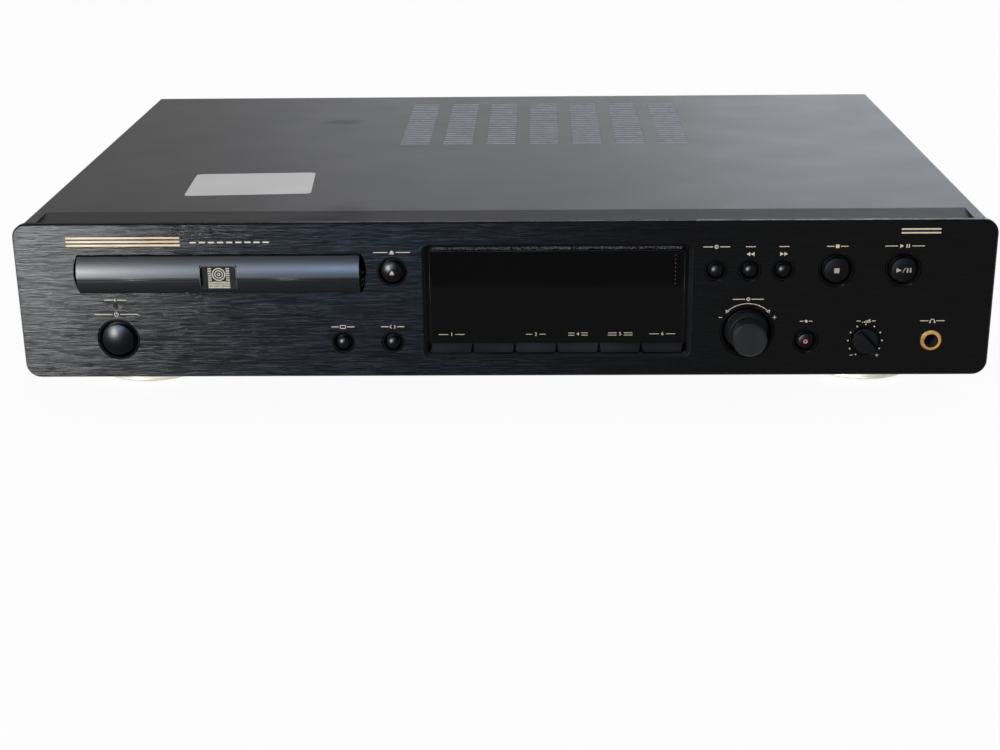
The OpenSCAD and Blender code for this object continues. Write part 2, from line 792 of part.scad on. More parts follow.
// Plastic frame behind the panel, with a dished well in front of each button
module front_frame() placed() color("#141414") difference() {
  union() {
    block(-frame_half, frame_half, panel_t, frame_y, chassis_top, frame_z1);
    for (s = button_spots) {
      bar_y(s[0], s[1], well_y, frame_y, s[2] - 0.1);
      bar_y(s[0], s[1], panel_t, sleeve_y, s[3] + 1.6);
    }
    for (s = knob_spots) bar_y(s[0], s[1], well_y, frame_y, s[2] - 0.1);
    for (z = [chassis_top, frame_z1 - frame_t])
      block(-frame_half, frame_half, frame_y - 0.1, front_board_y - 2, z, z + frame_t);
    for (s = [-1, 1])
      block(
        s * frame_half - (s > 0 ? frame_t : 0), s * frame_half + (s > 0 ? 0 : frame_t),
        frame_y - 0.1, front_board_y - 2, chassis_top, frame_z1
      );
    for (p = frame_posts) bar_y(p[0], p[1], frame_y - 0.1, front_board_y, 2.5);
    block(
      key_row_x0 - 4, key_row_x1 + 4, frame_y - 0.1, key_rail_y + key_rail_t,
      key_z0 - 2.4, key_z0 - 1
    );
    block(
      key_row_x0 - 4, key_row_x1 + 4, key_rail_y, key_rail_y + key_rail_t, key_z0 - 2.4, key_z1 + 1.5
    );
  }
  tray_cutout(panel_t - eps, frame_y + 1, 0.8);
  block(
    window_x0 - 0.5, window_x1 + 0.5, panel_t - eps, frame_y + 0.6, key_z0 - 0.7, window_z1 + 0.5
  );
  for (s = concat(button_spots, knob_spots)) {
    bar_y(s[0], s[1], well_y - 0.01, well_floor_y, s[2] - 0.4, s[3] + 0.5);
    bar_y(s[0], s[1], -eps, sleeve_y + 1, s[3] + button_gap);
  }
  for (k = [0:key_count - 1])
    block(
      key_x(k) - key_stem_w / 2 - 0.2, key_x(k) + key_stem_w / 2 + 0.2, key_rail_y - eps,
      key_rail_y + key_rail_t + eps, key_stem_z - key_stem_h / 2 - 0.2,
      key_stem_z + key_stem_h / 2 + 0.2
    );
  bar_y(jack_x, lower_row_z, panel_t - eps, frame_y + eps, jack_rim_r - 0.4);
  bar_y(power_x, lamp_z, panel_t - eps, frame_y + eps, lamp_r + 0.1);
}
function key_x(k) = key_row_x0 + (k + 0.5) * key_pitch;
frame_posts = [
  [display_x - 9, 9], [scroll_x - 11, 30], [window_x0 - 6, 64], [window_x1 + 5, 65],
  [window_x1 + 3.5, 8.5], [play_x + 3, 61], [play_x + 3, 9], [power_x - 13, 9], [power_x + 12, 33],
];

module display_window() placed() color("#0b0c10") union() {
  block(
    window_x0 - 0.3, window_x1 + 0.3, panel_t, panel_t + lens_t, lens_z0, window_z1 + 0.3
  );
  block(
    key_row_x0, key_row_x1, panel_t - lens_raise, panel_t + 0.1, lens_z0,
    window_z1 - window_bevel - lens_ledge
  );
}

module display_tube() placed() color("#1d2b33") {
  block(
    window_x0 + 11, window_x1 - 10, front_board_y - 6.5, front_board_y, lens_z0 + 7, window_z1 - 12
  );
}

module front_board() placed() color("#1f5b35") {
  board_x1 = jack_x - jack_body_w / 2 - 1;
  translate([0, front_board_y + board_t, 0]) rotate([90, 0, 0]) linear_extrude(board_t)
    polygon([
      [display_x - 13, chassis_top + 2], [board_x1, chassis_top + 2],
      [board_x1, frame_z1 - 3], [scroll_x - 9.5, frame_z1 - 3],
      [scroll_x - 9.5, cutout_z0 - 3], [display_x - 13, cutout_z0 - 3],
    ]);
  difference() {
    block(
      power_x - 17, power_x + 16, front_board_y, front_board_y + board_t,
      chassis_top + 2, cutout_z0 - 3
    );
    bar_y(power_x, power_z, front_board_y - eps, front_board_y + board_t + eps, 6);
  }
}

// Tact switches behind the buttons and keys, and the mains switch on the chassis floor
module control_switches() placed() color("#3a3a3a") {
  for (s = small_spots) tact_switch(s[0], s[1], switch_y);
  for (k = [0:key_count - 1]) tact_switch(key_x(k), key_stem_z, switch_y);
  difference() {
    block(
      power_x - 10, power_x + 10, mains_switch_y, mains_switch_y + 32, chassis_top, loader_z - 1
    );
    bar_y(power_x, power_z, mains_switch_y - eps, mains_switch_y + 3 + power_travel, 4.2);
  }
}
module tact_switch(x, z, y) {
  block(x - 3, x + 3, y + 0.7, front_board_y, z - 3, z + 3);
  bar_y(x, z, y, y + 0.8, 1.7);
}

// Rotary encoder and volume control on the front board
module rotary_controls() placed() color("#5a5c60") {
  for (s = knob_spots) difference() {
    union() {
      block(s[0] - 6, s[0] + 6, front_board_y - 5, front_board_y, s[1] - 6, s[1] + 6);
      bar_y(s[0], s[1], front_board_y - 7, front_board_y - 4.9, shaft_r + 1.5);
    }
    bar_y(s[0], s[1], front_board_y - 7 - eps, front_board_y - 1, shaft_r + shaft_gap);
  }
}

module headphone_jack() placed() color("#c9a24b") difference() {
  union() {
    turned_y(jack_x, lower_row_z) polygon([
      [0, -jack_rim_h], [jack_rim_r - 0.5, -jack_rim_h], [jack_rim_r, 0.5 - jack_rim_h],
      [jack_rim_r, 0], [jack_rim_r - 0.5, 0], [jack_rim_r - 0.5, frame_y + 0.2], [0, frame_y + 0.2],
    ]);
    block(
      jack_x - jack_body_w / 2, jack_x + jack_body_w / 2, frame_y + 0.1, jack_depth + 3,
      lower_row_z - jack_body_w / 2, lower_row_z + jack_body_w / 2
    );
  }
  bar_y(jack_x, lower_row_z, -jack_rim_h - eps, jack_depth, jack_bore_r);
}

module standby_lamp() placed() color("#501010") {
  bar_y(power_x, lamp_z, -0.3, frame_y + 1.1, lamp_r);
  bar_y(power_x, lamp_z, frame_y + 1, front_board_y, lamp_r + 0.5);
}

// Top cover

module top_cover() placed() color("#3d3f43") difference() {
  union() {
    // Bent sheet, drawn across the casing and thick along Y
    translate([0, case_d, 0]) rotate([90, 0, 0]) linear_extrude(case_d - cover_front_y)
      difference() {
        cover_section(cover_half, panel_h, cover_bend_r);
        cover_section(cover_inner_half, cover_inner_z, cover_bend_r - cover_t);
      }
    block(
      -cover_inner_half - 0.1, cover_inner_half + 0.1, case_d - cover_t, case_d,
      panel_h - cover_lip_h, panel_h - cover_bend_r
    );
    block(
      -cover_half + cover_bend_r, cover_half - cover_bend_r, case_d - cover_t, case_d,
      panel_h - cover_lip_h, panel_h
    );
    difference() {
      cover_band(panel_h);
      translate([0, 0, -0.01]) cover_band(panel_h - cover_t);
    }
    for (s = [-1, 1]) band_wall(s * band_half);
  }
  // Space over and under the sloped band
  difference() {
    block(-band_half, band_half, cover_front_y - eps, band_y, chassis_lift, panel_h + eps);
    difference() {
      cover_band(panel_h);
      translate([0, 0, -0.01]) cover_band(panel_h - cover_t);
    }
  }
  for (g = [0:vent_groups - 1], r = [0:vent_rows - 1])
    translate([
      vent_x + (g - (vent_groups - 1) / 2) * vent_group_pitch - vent_slot_l / 2,
      vent_y + r * vent_row_pitch - vent_slot_w / 2, cover_inner_z - eps
    ])
      cube([vent_slot_l, vent_slot_w, cover_t + 2 * eps]);
  screw_holes(screw_shank_r + screw_gap);
}

// Inner or outer outline of the cover, seen from the front
module cover_section(half, top, r) {
  translate([-half, chassis_lift]) square([2 * half, top - r - chassis_lift]);
  translate([r - half, chassis_lift]) square([2 * (half - r), top - chassis_lift]);
  for (s = [-1, 1]) translate([s * (half - r), top - r]) circle(r);
}

// Solid below the sloped band's upper face
module cover_band(top)
  translate([-band_half, 0, 0]) rotate([90, 0, 90]) linear_extrude(2 * band_half)
    polygon([
      [cover_front_y, 0], [band_y + 0.01, 0], [band_y + 0.01, top], [band_y, top],
      [cover_front_y, top - band_drop],
    ]);

// Drawn wall that joins an end of the sloped band to the flat strip beside it
module band_wall(x)
  translate([x > 0 ? x - 0.01 : x - cover_t, 0, 0]) rotate([90, 0, 90]) linear_extrude(cover_t + 0.01)
    polygon([
      [cover_front_y, panel_h - cover_t / 2], [cover_front_y, panel_h - band_drop - cover_t],
      [band_y, panel_h - cover_t], [band_y, panel_h - cover_t / 2],
    ]);

module screw_holes(r) {
  for (y = side_screw_ys) bar_x(y, side_screw_z, -cover_half - eps, -chassis_half + 3, r);
  for (y = side_screw_ys) bar_x(y, side_screw_z, chassis_half - 3, cover_half + eps, r);
  for (x = rear_screw_xs) bar_y(x, rear_screw_z, rear_inner_y - eps, case_d + eps, r);
}

module cover_screws() placed() color("#18181a") {
  for (y = side_screw_ys, s = [-1, 1])
    translate([s * cover_half, y, side_screw_z]) rotate([0, s * 90, 0]) pan_screw(4);
  for (x = rear_screw_xs)
    translate([x, case_d, rear_screw_z]) rotate([-90, 0, 0]) pan_screw(4);
}

// Screw whose head stands on Z = 0 and whose shank hangs below it
module pan_screw(shank_l) difference() {
  union() {
    rotate_extrude() polygon([
      [0, 0], [screw_head_r, 0], [screw_head_r, screw_head_h * 0.4],
      [screw_head_r * 0.7, screw_head_h], [0, screw_head_h],
    ]);
    translate([0, 0, -shank_l]) cylinder(r = screw_shank_r, h = shank_l + 0.1);
  }
  for (a = [0, 90]) rotate([0, 0, a])
    translate([-2.2, -0.45, screw_head_h - 1]) cube([4.4, 0.9, 2]);
}

// Chassis and rear panel

module chassis_base() placed() color("#a9adb2") difference() {
  union() {
    block(-chassis_half, chassis_half, cover_front_y, rear_inner_y, chassis_lift, chassis_top);
    for (s = [-1, 1])
      block(
        s > 0 ? chassis_half - chassis_t : -chassis_half,
        s > 0 ? chassis_half : chassis_t - chassis_half,
        front_board_y + 8, rear_inner_y, chassis_lift, chassis_top + flange_h
      );
    for (p = standoffs) bar_z(p[0], p[1], chassis_top - 0.1, board_z, standoff_r);
  }
  for (i = [0:9], x = [40, 90, 140])
    block(x - 15, x + 15, 120 + i * 9, 123 + i * 9, chassis_lift - eps, chassis_top + eps);
  screw_holes(screw_shank_r + screw_gap);
}
standoffs = [
  for (x = [main_x0 + 6, (main_x0 + main_x1) / 2 + 32, main_x1 - 6], y = [main_y0 + 6, main_y1 - 20]) [x, y],
  for (x = [power_board_x0 + 6, power_board_x1 - 6], y = [power_board_y0 + 6, power_board_y1 - 14]) [x, y],
];

module rear_panel() placed() color("#1c1d1f") difference() {
  union() {
    block(
      -chassis_half, chassis_half, rear_inner_y, rear_face_y, chassis_lift, panel_h - cover_bend_r
    );
    block(
      -chassis_half + 2, chassis_half - 2, rear_inner_y, rear_face_y, chassis_lift, sheet_top
    );
    block(
      -chassis_half + 2, chassis_half - 2, rear_inner_y - rear_flange_d, rear_inner_y + 0.1,
      sheet_top - chassis_t, sheet_top
    );
  }
  for (x = phono_columns, z = socket_rows)
    bar_y(x, z, rear_inner_y - eps, rear_face_y + eps, phono_hole_r);
  for (z = socket_rows)
    block(
      optical_x - nose_half_w - 0.2, optical_x + nose_half_w + 0.2, rear_inner_y - eps,
      rear_face_y + eps, z - nose_half_h - 0.2, z + nose_half_h + 0.2
    );
  block(
    inlet_x - inlet_half_w - 0.2, inlet_x + inlet_half_w + 0.2, rear_inner_y - eps,
    rear_face_y + eps, inlet_z - inlet_half_h - 0.2, inlet_z + inlet_half_h + 0.2
  );
  screw_holes(screw_shank_r + screw_gap);
}

// Feet

foot_body_r = foot_r - foot_ring_t - 0.1;
module feet() placed() color("#1a1a1a") {
  for (p = foot_spots) translate([p[0], p[1], 0]) rotate_extrude() polygon([
    [0, chassis_lift], [foot_body_r, chassis_lift], [foot_body_r, foot_pad_h - foot_lift],
    [foot_body_r - 2, foot_pad_h - foot_lift], [foot_body_r - 2.4, -foot_lift], [0, -foot_lift],
  ]);
}

module foot_rings() placed() color("#c9b27a") {
  for (p = foot_spots) translate([p[0], p[1], foot_pad_h - foot_lift - 0.5]) rotate_extrude()
    polygon([
      [foot_r - foot_ring_t, 0], [foot_r - 0.6, 0], [foot_r, 0.6], [foot_r, foot_ring_h - 0.6],
      [foot_r - 0.6, foot_ring_h], [foot_r - foot_ring_t, foot_ring_h],
    ]);
}

// Loader

module loader_frame() placed() color("#2b2c2f") union() {
  difference() {
    loader_tub();
    // Room for the large gear under the tray
    bar_z(gear_x, gear_y, gear_z - 0.4, tray_z, gear_pitch_r + gear_module + 1.2);
    bar_x(
      pivot_y, pivot_z, tray_x - bay_half - 5, tray_x + bay_half + 5, pivot_r + axle_gap
    );
    bar_z(motor_x, motor_y, loader_z - eps, loader_top + eps, motor_pulley_r + 1.5);
  }
  gear_axles();
}

module loader_tub() {
  difference() {
    block(
      tray_x - loader_half, tray_x + loader_half, loader_y0, loader_y1, loader_z, loader_top
    );
    block(
      tray_x - bay_half, tray_x + bay_half, bay_y0, bay_y1, loader_z - eps, loader_top + eps
    );
  }
  for (s = [0, 1]) translate([tray_x, 0, 0]) mirror([s, 0, 0]) {
    block(rail_x, rail_x + loader_t, loader_y0, loader_y1, loader_top - 0.1, rail_z1);
    block(
      rail_x - shelf_w, rail_x + 0.1, loader_y0, loader_y1, tray_z - 0.1 - loader_t, tray_z - 0.1
    );
    for (y = [loader_y0 + 3, (loader_y0 + loader_y1) / 2 - 12, loader_y1 - 15])
      block(rail_x - shelf_w, rail_x + 0.1, y, y + 12, tray_rim_z + 0.4, tray_rim_z + 2);
    block(
      bay_half - 0.5, bay_half - 0.5 + lug_t, pivot_y - 6, pivot_y + 6, loader_top - 0.1,
      pivot_z + pivot_r + 3
    );
    for (y = [loader_y0 + leg_inset, loader_y1 - leg_inset])
      bar_z(loader_half - leg_inset, y, chassis_top, loader_z + 0.1, leg_r);
  }
}

// Pins moulded on the loader frame for the large gear and the belt wheel
module gear_axles() {
  bar_z(gear_x, gear_y, loader_top - 0.1, gear_z - 0.4, axle_r + 2);
  bar_z(gear_x, gear_y, loader_top - 0.1, pinion_z1 - 0.2, axle_r);
  bar_z(belt_wheel_x, belt_wheel_y, loader_top - 0.1, wheel_z - 0.3, wheel_axle_r + 2);
  bar_z(belt_wheel_x, belt_wheel_y, loader_top - 0.1, gear_z + gear_t, wheel_axle_r);
}

module clamp_bridge() placed() color("#b9bcc0") difference() {
  block(
    tray_x - rail_x - loader_t, tray_x + rail_x + loader_t, disc_y - bridge_d / 2,
    disc_y + bridge_d / 2, bridge_z, bridge_z + bridge_t
  );
  bar_z(tray_x, disc_y, bridge_z - eps, bridge_z + bridge_t + eps, bridge_hole_r);
}

module clamp_disc() placed() color("#202124")
  translate([tray_x, disc_y, 0]) rotate_extrude() polygon([
    [hub_r + 1, clamp_z], [clamp_r, clamp_z], [clamp_r, clamp_z + 3], [bridge_hole_r - 1, clamp_z + 3],
    [bridge_hole_r - 1, bridge_z + bridge_t + 0.1], [bridge_hole_r + 2, bridge_z + bridge_t + 0.1],
    [bridge_hole_r + 2, bridge_z + bridge_t + 1.8], [0, bridge_z + bridge_t + 1.8],
    [0, clamp_z + hub_h + 0.6], [hub_r + 1, clamp_z + hub_h + 0.6],
  ]);

module loading_motor() placed() color("#8d9196") difference() {
  bar_z(motor_x, motor_y, loader_z - motor_l, loader_z, motor_r);
  bar_z(motor_x, motor_y, loader_z - 6, loader_z + eps, motor_shaft_r + axle_gap);
}

module motor_pulley() placed() color("#d8d4c8") union() {
  translate([motor_x, motor_y, wheel_z]) pulley(motor_pulley_r, 0);
  bar_z(motor_x, motor_y, loader_z - 5, wheel_z + 0.1, motor_shaft_r);
}

// Grooved wheel standing on Z = 0
module pulley(r, bore) rotate_extrude() polygon([
  [bore, 0], [r + 1.3, 0], [r + 1.3, 1], [r, belt_wheel_h / 2 - belt_t / 2 - 0.1],
  [r, belt_wheel_h / 2 + belt_t / 2 + 0.1], [r + 1.3, belt_wheel_h - 1], [r + 1.3, belt_wheel_h],
  [bore, belt_wheel_h],
]);

module pulley_gear() placed() color("#e2dfd4") translate([belt_wheel_x, belt_wheel_y, 0]) union() {
  translate([0, 0, wheel_z]) pulley(belt_wheel_r, wheel_axle_r + axle_gap);
  difference() {
    translate([0, 0, wheel_z + belt_wheel_h - 0.1]) rotate([0, 0, belt_pinion_phase])
      spur_gear(gear_module, belt_pinion_teeth, gear_t + 1.1);
    translate([0, 0, wheel_z]) cylinder(r = wheel_axle_r + axle_gap, h = 2 * belt_wheel_h + gear_t);
  }
}

module drive_belt() placed() color("#101010") translate([0, 0, belt_z - belt_t / 2])
  linear_extrude(belt_t) difference() {
    belt_loop(belt_gap + belt_t);
    belt_loop(belt_gap);
  }
module belt_loop(grow) hull() {
  translate([motor_x, motor_y]) circle(motor_pulley_r + grow);
  translate([belt_wheel_x, belt_wheel_y]) circle(belt_wheel_r + grow);
}

module drive_gear() placed() color("#e2dfd4") translate([gear_x, gear_y, 0]) difference() {
  union() {
    translate([0, 0, gear_z]) spur_gear(gear_module, gear_teeth, gear_t);
    translate([0, 0, gear_z + gear_t - 0.1])
      spur_gear(rack_module, rack_pinion_teeth, pinion_z1 - gear_z - gear_t + 0.1);
  }
  translate([0, 0, gear_z - eps]) cylinder(r = axle_r + axle_gap, h = pinion_z1 - gear_z + 1);
}

// Disc tray

module disc_tray() placed() color("#1b1c1e") union() {
  difference() {
    block(
      tray_x - tray_half, tray_x + tray_half, door_back_y, tray_end_y, tray_z, tray_rim_z
    );
    bar_z(tray_x, disc_y, seat_z, tray_rim_z + eps, disc_r);
    bar_z(tray_x, disc_y, small_seat_z, seat_z + eps, small_disc_r);
    bar_z(tray_x, disc_y, tray_z - eps, seat_z, slot_r);
    block(
      tray_x - slot_r, tray_x + slot_r, disc_y, tray_end_y + eps, tray_z - eps, tray_rim_z + eps
    );
    // Lower deck of the tray behind the disc
    block(
      tray_x - tray_half + 6, tray_x + tray_half - 6, disc_y + disc_r - 6, tray_end_y - 8,
      seat_z, tray_rim_z + eps
    );
    // Hollow underside
    for (x = [tray_x - tray_half + 2.5, tray_x + slot_r + 2.5])
      block(
        x, x + tray_half - slot_r - 5, door_back_y + 12, disc_y + disc_r - 8,
        tray_z - eps, small_seat_z - tray_floor_t
      );
  }
  rack(gear_y - 12, gear_y + tray_travel + 10, gear_y, rack_z, small_seat_z - tray_floor_t + 0.5);
}

module tray_door() placed() color("#1a1b1d") difference() {
  intersection() {
    bar_x(door_r - door_proud, door_z, tray_x - door_w / 2, tray_x + door_w / 2, door_r);
    block(
      tray_x - door_w / 2, tray_x + door_w / 2, -door_proud, door_back_y, door_z0, door_z1
    );
  }
  door_groove(door_z - 1.15, 0.65, 0.7);
  door_groove(door_z - 2.25, 0.35, 0.5);
  block(
    badge_x - badge_w / 2 - 0.2, badge_x + badge_w / 2 + 0.2, -door_proud - eps, badge_y + badge_t,
    door_z - 0.7 - badge_h / 2 - 0.2, door_z - 0.7 + badge_h / 2 + 0.2
  );
}
module door_groove(z, h, depth)
  block(
    tray_x - door_w / 2 - eps, tray_x + door_w / 2 + eps, -door_proud - eps,
    depth - door_proud, z, z + h
  );

module tray_badge() placed() color("#b8964a")
  block(
    badge_x - badge_w / 2, badge_x + badge_w / 2, badge_y, badge_y + badge_t,
    door_z - 0.7 - badge_h / 2, door_z - 0.7 + badge_h / 2
  );

// Player deck

module rod_posts(y)
  for (dx = [-left_rod_dx, right_rod_dx])
    block(tray_x + dx - 3.4, tray_x + dx + 3.4, y, y + post_t, deck_top - 0.1, rod_z + rod_r + 2);

module traverse_deck() placed() color("#8f9296") union() {
  difference() {
    union() {
      block(
        tray_x - deck_half, tray_x + deck_half, deck_y0, deck_y1, deck_z, deck_top
      );
      rod_posts(rod_y0);
      rod_posts(rod_y1 - post_t);
      block(
        tray_x + screw_dx - 3, tray_x + screw_dx + 3, rod_y1 - post_t, rod_y1, deck_top - 0.1,
        rod_z + 3
      );
    }
    block(
      tray_x - 20, tray_x + 13, pickup_y0 - 1, pickup_y1 + pickup_travel, deck_z - eps,
      deck_top + eps
    );
    for (dx = [-left_rod_dx, right_rod_dx])
      bar_y(tray_x + dx, rod_z, rod_y0 - eps, rod_y1 + eps, rod_r + 0.02);
    bar_y(tray_x + screw_dx, rod_z, rod_y1 - post_t - eps, rod_y1 + eps, screw_r + shaft_gap);
  }
  for (s = [-1, 1])
    bar_x(
      pivot_y, pivot_z, tray_x + (s > 0 ? deck_half - 1 : -bay_half - 3),
      tray_x + (s > 0 ? bay_half + 3 : 1 - deck_half), pivot_r
    );
}

module guide_rods() placed() color("#c4c7cb") {
  for (dx = [-left_rod_dx, right_rod_dx]) bar_y(tray_x + dx, rod_z, rod_y0, rod_y1, rod_r);
}

// Spindle motor below the platter and sled motor beside it
module deck_motors() placed() color("#a4a8ad") {
  difference() {
    bar_z(tray_x, disc_y, deck_top, platter_z - 5, spindle_motor_r);
    bar_z(tray_x, disc_y, deck_top + 2, platter_z, 1 + axle_gap);
  }
  difference() {
    bar_y(
      tray_x + screw_dx, rod_z, sled_motor_y0, rod_y0 + post_t, sled_motor_r
    );
    bar_y(
      tray_x + screw_dx, rod_z, rod_y0 - 6, rod_y0 + post_t + eps, screw_r + shaft_gap
    );
  }
}

module turntable() placed() color("#2a2b2e") translate([tray_x, disc_y, 0]) rotate_extrude()
  polygon([
    [0, deck_top + 3], [1, deck_top + 3], [1, platter_z - 4], [4, platter_z - 4], [4, platter_z - 3],
    [platter_r, platter_z - 3], [platter_r, platter_z], [hub_r, platter_z],
    [hub_r, platter_z + hub_h - 1], [hub_r - 1.5, platter_z + hub_h], [0, platter_z + hub_h],
  ]);

module lead_screw() placed() color("#c4c7cb") translate([tray_x + screw_dx, 0, rod_z]) {
  thread_y0 = rod_y0 + post_t + 1;
  thread_y1 = rod_y1 - post_t - 1;
  turns = (thread_y1 - thread_y0) / screw_lead;
  bar_y(0, 0, rod_y0 - 4, thread_y0 + 0.1, screw_r);
  bar_y(0, 0, thread_y1 - 0.1, rod_y1, screw_r);
  translate([0, thread_y1, 0]) rotate([90, 0, 0])
    linear_extrude(
      thread_y1 - thread_y0, twist = -360 * turns, slices = round(turns * 8), $fn = 8
    )
      translate([thread_h, 0]) circle(screw_r, $fn = 8);
}

module optical_pickup() placed() color("#515459") difference() {
  union() {
    block(
      tray_x - left_rod_dx - 4, tray_x + right_rod_dx + 3.5, pickup_y0, pickup_y1,
      pickup_z0, pickup_z1
    );
    block(
      tray_x + right_rod_dx + 3.4, tray_x + screw_dx + 3, lens_y, lens_y + 10,
      pickup_z0 + 1, rod_z + 3
    );
    block(
      tray_x - tower_half, tray_x + tower_half, pickup_y0 + 0.5, pickup_y1 - 8, pickup_z1 - 0.1,
      tower_z
    );
  }
  for (dx = [-left_rod_dx, right_rod_dx])
    bar_y(tray_x + dx, rod_z, pickup_y0 - eps, pickup_y1 + eps, rod_r + shaft_gap);
  bar_y(
    tray_x + screw_dx, rod_z, lens_y - eps, lens_y + 10 + eps, screw_r + thread_h + 0.15
  );
  // Well of the lens holder
  block(
    tray_x - tower_half + 2, tray_x + tower_half - 2, pickup_y0 + 2, pickup_y0 + 14,
    tower_z - 4, tower_z + eps
  );
}

module objective_lens() placed() color("#7fa0b8") union() {
  difference() {
    block(
      tray_x - tower_half + 2.3, tray_x + tower_half - 2.3, pickup_y0 + 2.3, pickup_y0 + 13.7,
      tower_z - 4 + focus_travel + 0.2, tower_z - 0.6
    );
    bar_z(tray_x, lens_y, tower_z - 2, tower_z, lens_r);
  }
  translate([tray_x, lens_y, tower_z - 2.01]) rotate_extrude() polygon([
    [0, 0], [lens_r, 0], [lens_r, 1.2], [lens_r * 0.8, 1.7], [lens_r * 0.45, 2], [0, 2.1],
  ]);
}

// Circuit boards and power supply

module main_board() placed() color("#2a6a3f")
  block(main_x0, main_x1, main_y0, main_y1, board_z, board_top);

module power_board() placed() color("#8a6a35")
  block(power_board_x0, power_board_x1, power_board_y0, power_board_y1, board_z, board_top);

module transformer() placed() color("#7c5a33") union() {
  block(
    transformer_x - transformer_w / 2, transformer_x + transformer_w / 2,
    transformer_y - transformer_d / 2, transformer_y + transformer_d / 2,
    chassis_top, chassis_top + transformer_h
  );
  block(
    transformer_x - transformer_w / 4, transformer_x + transformer_w / 4,
    transformer_y - transformer_d / 2 - 9, transformer_y + transformer_d / 2 + 9,
    chassis_top + 9, chassis_top + transformer_h - 9
  );
  block(
    transformer_x - transformer_w / 2 - 3, transformer_x + transformer_w / 2 + 3,
    transformer_y - 7, transformer_y + 7, chassis_top, chassis_top + 2
  );
}

module board_parts() placed() color("#202838") {
  for (i = [0:1])
    bar_z(
      power_board_x0 + 2 * tall_can_r + i * (2 * tall_can_r + can_gap),
      power_board_y0 + tall_can_r + can_gap, board_top, board_top + tall_can_h, tall_can_r
    );
  for (i = [0:4])
    bar_z(
      power_board_x0 + 2 * low_can_r + i * (2 * low_can_r + can_gap),
      power_board_y0 + 2 * tall_can_r + 2 * can_gap + low_can_r, board_top,
      board_top + low_can_h, low_can_r
    );
  for (i = [0:5], j = [0:1])
    bar_z(
      line_in_x + (i - 1) * (2 * little_can_r + can_gap),
      main_y1 - 60 - j * (2 * little_can_r + 2 * can_gap), board_top, board_top + little_can_h,
      little_can_r
    );
  for (c = board_chips)
    block(
      main_x0 + c[0], main_x0 + c[0] + c[2], main_y0 + c[1], main_y0 + c[1] + c[3],
      board_top, board_top + chip_h
    );
}
// Chips on the main board: distance from its left and front edges, width and depth
board_chips = [
  [40, 90, 28, 28], [92, 70, 20, 20], [150, 110, 18, 12], [150, 150, 12, 10], [60, 160, 14, 10],
];

module heatsink() placed() color("#9a9da1") union() {
  plate_x = power_board_x1 - can_gap - fin_l;
  plate_y = power_board_y0 + can_gap;
  block(
    plate_x - heatsink_t, plate_x, plate_y, plate_y + (fin_count - 1) * fin_pitch + fin_t,
    board_top, board_top + heatsink_h
  );
  for (i = [0:fin_count - 1])
    block(
      plate_x - 0.1, plate_x + fin_l, plate_y + i * fin_pitch, plate_y + i * fin_pitch + fin_t,
      board_top, board_top + heatsink_h
    );
}

// Flat cables with their plugs, from the front board and the loader to the main board
module ribbon_cables() placed() color("#c8c8c4") {
  flat_cable(10, wide_cable_w, front_board_y + board_t, main_y0 + 20);
  flat_cable(120, cable_w, front_board_y + board_t, main_y0 + 16);
  // From the loader's right side to the main board
  x0 = tray_x + loader_half;
  x1 = main_x0 + loader_plug_x;
  translate([0, loader_cable_y, 0]) rotate([90, 0, 0]) linear_extrude(loader_cable_w) polygon([
    [x0, loader_top - 1], [x0 + 6, loader_top - 1], [x1, board_top + cable_plug], [x1, board_top],
    [x1 + cable_t, board_top], [x1 + cable_t, board_top + cable_plug + 0.4],
    [x0 + 6.2, loader_top - 0.3], [x0, loader_top - 0.3],
  ]);
}

// Flat cable with its plugs: left edge, width, front and rear plug
module flat_cable(x, w, y0, y1)
  translate([x, 0, 0]) rotate([90, 0, 90]) linear_extrude(w) polygon([
    [y0, cable_top_z - cable_plug], [y0 + cable_plug, cable_top_z - cable_plug],
    [y0 + cable_plug, cable_top_z - cable_t], [y1 - 3, board_top + 8], [y1 - 3, board_top],
    [y1 + 3, board_top], [y1 + 3, board_top + 6], [y1 - 2.2, board_top + 8.4],
    [y0 + cable_plug + 0.4, cable_top_z], [y0, cable_top_z],
  ]);

// Rear sockets

module rca_sockets() placed() color("#d2cfc4") {
  for (x = phono_columns) difference() {
    union() {
      block(x - 7, x + 7, rear_inner_y - 12, rear_inner_y, board_top, socket_rows[1] + 8);
      for (z = socket_rows) {
        bar_y(x, z, rear_inner_y - 0.1, rear_end_y, phono_r);
        bar_y(x, z, rear_face_y, rear_face_y + 1.4, phono_r + 1.6);
      }
    }
    for (z = socket_rows) bar_y(x, z, rear_face_y + 1, rear_end_y + eps, 1.6);
  }
}

module optical_sockets() placed() color("#202124") {
  difference() {
    union() {
      block(
        optical_x - 6.5, optical_x + 6.5, rear_inner_y - 11, rear_inner_y, board_top,
        socket_rows[1] + 6.5
      );
      for (z = socket_rows)
        block(
          optical_x - nose_half_w, optical_x + nose_half_w, rear_inner_y - 0.1,
          rear_face_y + nose_proud, z - nose_half_h, z + nose_half_h
        );
    }
    for (z = socket_rows)
      block(
        optical_x - nose_half_w + 1, optical_x + nose_half_w - 1, rear_face_y,
        rear_face_y + nose_proud + eps, z - nose_half_h + 1, z + nose_half_h - 1
      );
  }
}

